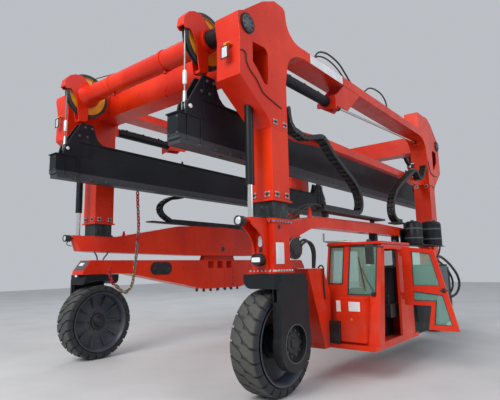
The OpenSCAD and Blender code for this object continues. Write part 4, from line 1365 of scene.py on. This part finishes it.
# name: body, CAD node, links, heights the bend is spread over, and the route in Y and Z
chainRoutes = {
    "front": ("right_frame", "energy_chains_right", 36, (2.45, 3.35), [
        (-2.94, 3.62), (-2.90, 3.42), (-2.80, 3.335), (-2.70, 3.325), (-2.56, 3.29), (-2.35, 3.33),
        (-2.06, 3.405), (-1.93, 3.36), (-1.775, 3.24), (-1.415, 3.048), (-1.085, 2.890), (-0.90, 2.75),
        (-0.815, 2.61), (-0.815, 2.467), (-0.87, 2.395), (-1.01, 2.357), (-1.50, 2.357), (-2.10, 2.357)]),
    "rear": ("right_frame", "energy_chains_right", 32, (2.45, 3.35), [
        (2.80, 3.80), (2.62, 3.55), (2.42, 3.42), (2.30, 3.43), (2.06, 3.555), (1.78, 3.44), (1.39, 3.25),
        (1.06, 3.09), (0.845, 2.96), (0.70, 2.82), (0.618, 2.68), (0.594, 2.55), (0.624, 2.453), (0.70, 2.385),
        (0.80, 2.357), (0.99, 2.357)]),
    "left": ("left_frame", "energy_chain_left", 44, (2.56, 3.15), [
        (-0.65, 3.31), (-0.82, 3.31), (-1.01, 3.16), (-1.25, 3.03), (-1.52, 2.98), (-1.74, 2.86),
        (-1.825, 2.735), (-1.74, 2.60), (-1.52, 2.50), (-1.365, 2.500), (1.0, 2.500)]),
}
for name, (body, node, links, (low, high), route) in chainRoutes.items():
    chain = chainLinks(route, node, links).make(
        "energyChain_" + name, None, [chainPlastic, hoseRubber], [node], "chain_plastic", free=True)
    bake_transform(chain)
print("ropes and energy chains made")


# lifting chain: red sling, dark chain, brass end hooked back
slingForm = {
    "wire": 0.011, "linkLong": 0.078, "linkWide": 0.046,
    "route": [(-2.684, 2.925), (-2.679, 2.78), (-2.660, 2.50), (-2.650, 2.226), (-2.700, 1.645), (-2.760, 1.27),
              (-2.854, 1.139), (-2.960, 1.127), (-3.080, 1.23), (-3.170, 1.30), (-3.215, 1.42), (-3.212, 1.54)],
}


def slingChain():
    f = slingForm
    wire, long, wide = f["wire"], f["linkLong"], f["linkWide"]
    x = middleOf("lifting_chain").x
    route = [(x, y, z) for y, z in f["route"]]
    path = smoothPath(route, int(pathLength(smoothPath(route, 100)) / (long - 2 * wire)) + 1)
    link = []
    for i in range(16):
        angle = 2 * pi * i / 16
        shift = (long - wide) / 2 * (1 if sin(angle) > 0 else -1)
        link.append((wide / 2 * cos(angle), 0, shift + wide / 2 * sin(angle)))
    shape = Shape()
    for i, (p, q) in enumerate(zip(path, path[1:])):
        share, mark = i / (len(path) - 2), shape.mark()
        shape.dye(0 if share < 0.36 and i % 7 < 5 or share > 0.90 else 1 if share < 0.55 else 2)
        turn = (q - p).normalized().to_track_quat("Z", "X").to_matrix().to_4x4()
        at = Matrix.Translation((p + q) / 2) @ turn @ Matrix.Rotation(i % 2 * pi / 2, 4, "Z")
        shape.tube(link, wire, 6, closed=True).copies([at], mark)
    return shape


sling = slingChain().make(
    "slingChain", "lifting_left", [chainRed, ropeSteel, chainBrass], ["lifting_chain"], "chain_steel")
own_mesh(sling)
print("lifting chain made")


# hoses: each a tube on a smooth path, its length printed
def hose(name, body, diameter, points):
    path = smoothPath([[c / 1000 for c in p] for p in points], 26)
    diameter, length = diameter / 1000, pathLength(path)
    piece = Shape().tube(path, diameter / 2, 10).make(name, body, hoseRubber, sharp=60)
    print("hose", name, round(length, 3))


# name: body, diameter and points in millimetres
hoseRuns = {
    "headCable": ("gantry", 13, [
        (2128, -3929, 4040), (2130, -3870, 4062), (2130, -3815, 4030), (2129, -3812, 3940), (2129, -3740, 3850),
        (2129, -3620, 3775), (2129, -3500, 3650), (2129, -3300, 3590), (2128, -3101, 3546)]),
    "topHoseA": ("gantry", 30, [
        (1960, -1980, 4608), (1960, -1900, 4760), (1960, -1760, 4900), (1960, -1514, 4975), (1960, -1275, 4980),
        (1960, -1050, 4945), (1955, -850, 4860), (1950, -640, 4760), (1950, -430, 4690)]),
    "topHoseB": ("gantry", 26, [
        (1915, -1960, 4608), (1915, -1880, 4730), (1915, -1740, 4850), (1915, -1514, 4915), (1915, -1275, 4920),
        (1915, -1050, 4880), (1915, -850, 4800), (1915, -640, 4720), (1915, -430, 4665)]),
    "topHoseC": ("gantry", 30, [
        (1950, -180, 4690), (1950, 0, 4800), (1950, 160, 4900), (1950, 412, 4965), (1950, 714, 4975),
        (1950, 900, 4930), (1950, 1010, 4840), (1950, 1040, 4730)]),
    "filterHoseA": ("right_frame", 34, [
        (2112, -2730, 1790), (2130, -2641, 1840), (2130, -2540, 1835), (2125, -2442, 1780), (2110, -2385, 1690),
        (2100, -2380, 1590), (2095, -2390, 1490)]),
    "filterHoseB": ("right_frame", 34, [
        (2072, -2726, 1800), (2075, -2641, 1860), (2070, -2530, 1862), (2060, -2415, 1800), (2050, -2345, 1700),
        (2045, -2335, 1590), (2045, -2340, 1490)]),
    "panelHose": ("right_frame", 22, [
        (2060, -2230, 1492), (2105, -2230, 1525), (2145, -2230, 1490), (2142, -2230, 1380), (2139, -2220, 1220),
        (2139, -2200, 1070)]),
    "tankHoseA": ("right_frame", 48, [
        (2820, 500, 1478), (2820, 590, 1600), (2820, 760, 1650), (2820, 1092, 1600), (2820, 1528, 1470),
        (2820, 1930, 1280), (2815, 2060, 1090), (2790, 1900, 930), (2735, 1640, 860), (2680, 1420, 835)]),
    "tankHoseB": ("right_frame", 40, [
        (2730, 480, 1478), (2730, 570, 1570), (2730, 760, 1610), (2740, 1092, 1545), (2745, 1500, 1410),
        (2740, 1820, 1240), (2730, 1900, 1080), (2715, 1780, 960), (2700, 1500, 905), (2676, 1300, 890)]),
    "trayHoseA": ("right_frame", 26, [
        (2060, -2170, 2345), (2060, -2328, 2378), (2060, -2560, 2330), (2050, -2760, 2240), (2020, -2900, 2150),
        (1990, -2960, 2118)]),
    "trayHoseB": ("right_frame", 26, [
        (2115, -2170, 2345), (2115, -2328, 2370), (2112, -2560, 2305), (2100, -2760, 2210), (2075, -2880, 2140),
        (2040, -2960, 2118)]),
    "canisterHose": ("right_frame", 36, [
        (2285, 2330, 2430), (2300, 2480, 2450), (2310, 2620, 2370), (2320, 2700, 2200), (2330, 2690, 1960),
        (2330, 2560, 1760), (2330, 2300, 1640), (2330, 2020, 1570), (2330, 1870, 1520)]),
    "rearCable": ("gantry", 16, [
        (2130, 2990, 3930), (2132, 3000, 3840), (2132, 3050, 3720), (2132, 3180, 3640), (2132, 3380, 3610),
        (2130, 3600, 3640)]),
    "rockerHoseA": ("left_frame", 24, [
        (-1765, -3330, 1835), (-1745, -3318, 1800), (-1745, -3285, 1745), (-1765, -3262, 1690)]),
    "rockerHoseB": ("left_frame", 24, [
        (-1765, -3060, 1835), (-1745, -3075, 1800), (-1745, -3125, 1745), (-1765, -3150, 1690)]),
}
for name, run in hoseRuns.items():
    hose(name, *run)


# lamps: head lamps, nose lamps and the lamp low on the front pillar
lampForm = {
    "headY": -legY - 0.848, "headZ": (3.96, 4.12), "headHalf": (0.055, 0.080),
    "noseY": -legY - 0.625, "noseZ": 2.058, "noseR": 0.060,
    "lowY": -legY - 0.305, "lowZ": 1.606, "portY": -legY - 0.2095,
}


def headLamp(x):
    # bezel and ribbed lens on a face that looks towards -Y, beacon and cap above
    f = lampForm
    y, top, (wide, tall) = f["headY"], f["headZ"][1], f["headHalf"]
    z = sum(f["headZ"]) / 2
    shape = Shape()
    for low, high in (((-wide, -tall), (wide, -tall + 0.012)), ((-wide, tall - 0.012), (wide, tall)),
                      ((-wide, -tall), (-wide + 0.012, tall)), ((wide - 0.012, -tall), (wide, tall))):
        shape.block((x + low[0], y - 0.012, z + low[1]), (x + high[0], y, z + high[1]))
    lens = (wide - 0.010, tall - 0.010)
    shape.dye(1).block((x - lens[0], y - 0.006, z - lens[1]), (x + lens[0], y, z + lens[1]))
    shape.dye(2).block((x - 0.020, y + 0.006, top), (x + 0.020, y + 0.055, top + 0.030))
    shape.block((x - 0.030, y + 0.006, top + 0.030), (x + 0.055, -legY - 0.770, top + 0.042))
    shape.dye(3)
    for dx in (-0.018, 0.040):
        shape.bolt((x + dx, y + 0.035, top + 0.042), "z", 0.018)
    return shape


def noseLamp(x):
    f = lampForm
    y, r = f["noseY"], f["noseR"]
    at = (x, y, f["noseZ"])
    shape = Shape().lathe([(r, 0.002), (r, -0.014), (r - 0.010, -0.018), (r - 0.016, -0.010)], at, "y", 28)
    shape.dye(1).lathe([(r - 0.014, -0.006), (r * 0.5, -0.013), (0, -0.015)], at, "y", 28)
    cable = [(0, 0.05, 1.998), (0.012, 0.02, 1.965), (0.03, 0.045, 1.935), (0.045, 0.10, 1.93)]
    return shape.dye(0).tube([(x + u, y + v, z) for u, v, z in cable], 0.007, 8)


for sx, word in words.items():
    headLamp(sx * (legX + 0.015)).make(
        "headLamp_" + word, "gantry", [chainPlastic, lampGlass, amberGlass, zinc], bevel=0.002)
for sx, word in words.items():
    noseLamp(sx * legX).make("noseLamp_" + word, word + "_frame", [chainPlastic, lampGlass])
y, z, port = lampForm["lowY"], lampForm["lowZ"], lampForm["portY"]
bezel = [(0.0775, 0.002), (0.080, -0.006), (0.074, -0.014), (0.066, -0.010)]
stripe = [(-0.064, -0.028), (0.064, -0.028), (0.068, 0), (0.064, 0.028), (-0.064, 0.028), (-0.068, 0)]
slot = [*arc(legX, 1.864, 0.030, 0.030, 0, 180, 6), *arc(legX, 1.792, 0.030, 0.030, 180, 360, 6)]
shape = Shape().lathe(bezel, (legX, y, z), "y", 32)
shape.dye(1).prism([(legX + u, z + v) for u, v in stripe], "y", y - 0.009, y)
shape.dye(2).prism(slot, "y", port - 0.0125, port)
shape.dye(0).block((legX - 0.024, port - 0.0085, 1.70), (legX + 0.024, port, 1.755))
shape.make("pillarLamp", "right_frame", [chainPlastic, signWhite, lampGlass], bevel=0.0015)


# blank plates and labels: body, lowest corner, highest corner
labelPlates = {
    "pillarLabel": ("right_frame", (legX + 0.1701, -3.286, 1.553), (legX + 0.172, -3.114, 1.813)),
    "beamSign": ("gantry", (legX + 0.1851, -2.31, 4.462), (legX + 0.189, -1.30, 4.598)),
}
for name, (body, low, high) in labelPlates.items():
    Shape().block(low, high).make(name, body, signWhite, bevel=0.0006)
shape = Shape().lathe([(0, 0), (0.022, 0), (0.026, 0.003), (0.030, 0)], (legX + 0.1702, -3.207, 2.003), "x", 20)
shape.make("pillarPort", "right_frame", chainPlastic)
cabFront = lowOf("cab_body").y
shape = Shape()
for low, high in (((2.215, 0.893), (2.28, 1.04)), ((2.40, 0.905), (2.565, 1.03))):
    shape.block((low[0], cabFront - 0.0018, low[1]), (high[0], cabFront - 0.0003, high[1]))
shape.dye(1).prism([(2.415, 0.785), (2.455, 0.785), (2.435, 0.822)], "y", cabFront - 0.0022, cabFront - 0.0003)
shape.make("cabLabels", "right_frame", [signWhite, amberGlass])
print("lamps and plates made")


# caps on the ends of the cross shafts
capForm = [(0, 0.010), (0.060, 0.010), (0.066, 0.006), (0.098, 0.006), (0.104, 0.002), (0.1045, -0.004)]
shape = Shape().lathe(capForm, (0, 0, 0), "x", 40).dye(1)
for y, z in around(8, 0.083, 0.5):
    shape.bolt((0.006, y, z), "x", 0.024, 0.014)
shaftEnd = highOf("cross_shafts").x
shape.copies([Matrix.Translation((sx * shaftEnd, sy * shaftY, shaftZ)) @ Matrix.Diagonal((sx, 1, 1, 1))
              for sx in (-1, 1) for sy in (-1, 1)])
shape.make("shaftCaps", "gantry", [greyPaint, studSteel])


# clamp rings and the hooked rod on the carriage tubes
carriageForm = {
    "rings": (-0.62, 0.62), "ringHalf": 0.025, "ringR": 0.155, "rodR": 0.008,
    "rod": [(-1.30, 0.150), (-1.27, 0.235), (-1.18, 0.262), (-0.80, 0.215), (-0.36, 0.160)],
}
r, half = carriageForm["ringR"], carriageForm["ringHalf"]
shape = Shape()
for y in (-shaftY, shaftY):
    for x in carriageForm["rings"]:
        low = shaftZ - r
        shape.dye(0).lathe([(0.140, -half), (r, -half), (r, half), (0.140, half)], (x, y, shaftZ), "x", 36)
        shape.block((x - half, y - 0.022, low - 0.035), (x + half, y + 0.022, low + 0.01))
        shape.dye(1).bolt((x, y - 0.022, low - 0.018), "-y", 0.018)
shape.make("carriageClamps", "gantry", [redPaint, studSteel], slot="red_paint", bevel=0.002)
rod = smoothPath([(x, 0.02 - shaftY, shaftZ + z) for x, z in carriageForm["rod"]], 24)
Shape().tube(rod, carriageForm["rodR"], 8).make("carriageRod", "gantry", hoseRubber)


# rope ends: pressed ferrules above the hangers, the sockets' forks and the pins through them
ropeEnd = {
    "low": 3.755, "radius": 0.027,
    "pins": ((ropeFoot - 0.020, 0, 0.098), (3.020, 0.010, 0.048)),      # height, set-back and half length
}
for sx, word in words.items():
    shape = Shape()
    for sy in (-1, 1):
        x, y, r = sx * hoistX, sy * ropeY, ropeEnd["radius"]
        ferrule = [(0.012, -0.006), (0.020, -0.004), (r, 0.012), (r, 0.150), (0.022, 0.172), (0.013, 0.180)]
        shape.dye(0).lathe(ferrule, (x, y, ropeEnd["low"]), "z", 20)
        socket = [(0.014, 0.20), (0.026, 0.19), (0.030, 0.07), (0.034, 0.05)]
        shape.dye(1).lathe(socket, (x, y, ropeFoot), "z", 20)
        for dx in (-0.034, 0.018):
            shape.block((x + dx, y - 0.026, ropeFoot - 0.045), (x + dx + 0.016, y + 0.026, ropeFoot + 0.060))
        shape.dye(0)
        for z, back, reach in ropeEnd["pins"]:
            for s in (-1, 1):
                pin = [(0, s * 0.016), (0.020, s * 0.016), (0.027, s * 0.010), (0.027, 0)]
                shape.lathe(pin, (x + s * reach, sy * (ropeY - back), z), "x", 20)
    shape.make("ropeEnds_" + word, "lifting_" + word, [signWhite, zinc])


# bolts along the lifting beams, and the end plates over their boxes
boltRows = {
    "first": 0.35, "step": 0.28, "count": 14, "z": 2.985,
    "hanger": ((-0.20, 3.70), (-0.34, 3.70), (-0.30, 3.86), (-0.42, 3.86)),
}
beamEnd = highOf("lifting_beam_right").y
for sx, word in words.items():
    shape, x = Shape(), sx * hoistX
    for sy in (-1, 1):
        shape.dye(0)
        for i in range(boltRows["count"]):
            for s, axis in ((-1, "-x"), (1, "x")):
                y = sy * (boltRows["first"] + boltRows["step"] * i)
                shape.bolt((x + s * 0.105, y, boltRows["z"]), axis, 0.026, 0.016)
        for dy, z in boltRows["hanger"]:
            for s, axis in ((-1, "-x"), (1, "x")):
                shape.bolt((x + s * 0.091, sy * (ropeY + dy), z), axis, 0.030, 0.018)
        low, high = sorted((sy * (beamEnd - 0.026), sy * (beamEnd - 0.016)))
        shape.dye(1).block((x - 0.095, low, 3.06), (x + 0.095, high, 3.30)).dye(0)
        for dx in (-0.075, 0.075):
            for z in (3.08, 3.28):
                shape.bolt((x + dx, sy * (beamEnd - 0.015), z), "y" if sy > 0 else "-y", 0.022)
    shape.make("beamBolts_" + word, "lifting_" + word, [studSteel, beamPaint], bevel=0.001)
print("carriages, ropes and lifting beams dressed")


# floor and soft studio light
studio = {
    "floor": 60,
    "sky": 0.58,
    "skyColour": (0.86, 0.90, 0.96, 1),
    "lights": {
        # place, size, power and tint
        "keyLight": ((1.5, -14, 11), 9, 1750, (1, 0.97, 0.93)),
        "fillLight": ((15, 0, 9), 10, 640, (0.93, 0.96, 1)),
        "rimLight": ((-12, 8, 12), 8, 380, (1, 1, 1)),
    },
}


def makeStudio():
    half = studio["floor"] / 2
    shape = slab((-half, half), (-half, half), (-0.02, -0.0005))
    floor = asObject(shape)
    floor.name = floor.data.name = "paleFloor"
    floor.data.materials.append(mottled(
        "paleFloor", (0.7, 5, 0.3, 0.8), (0.60, 0.61, 0.62), (0.52, 0.53, 0.54), (0.62, 0.2, 1.5)))
    floor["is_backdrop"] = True
    world = bpy.data.worlds.new("studio")
    world.use_nodes = True
    back = world.node_tree.nodes["Background"]
    back.inputs[0].default_value, back.inputs[1].default_value = studio["skyColour"], studio["sky"]
    bpy.context.scene.world = world
    for name, (spot, size, power, tint) in studio["lights"].items():
        light = bpy.data.lights.new(name, "AREA")
        light.shape, light.size, light.energy, light.color = "DISK", size, power, tint
        lamp = bpy.data.objects.new(name, light)
        lamp.location = spot
        lamp.rotation_mode = "QUATERNION"
        lamp.rotation_quaternion = (Vector((0, 0, 2)) - Vector(spot)).to_track_quat("-Z", "Y")
        bpy.context.scene.collection.objects.link(lamp)
    bpy.context.scene.view_settings.view_transform = "Standard"


makeStudio()
low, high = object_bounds()
print("scene done")
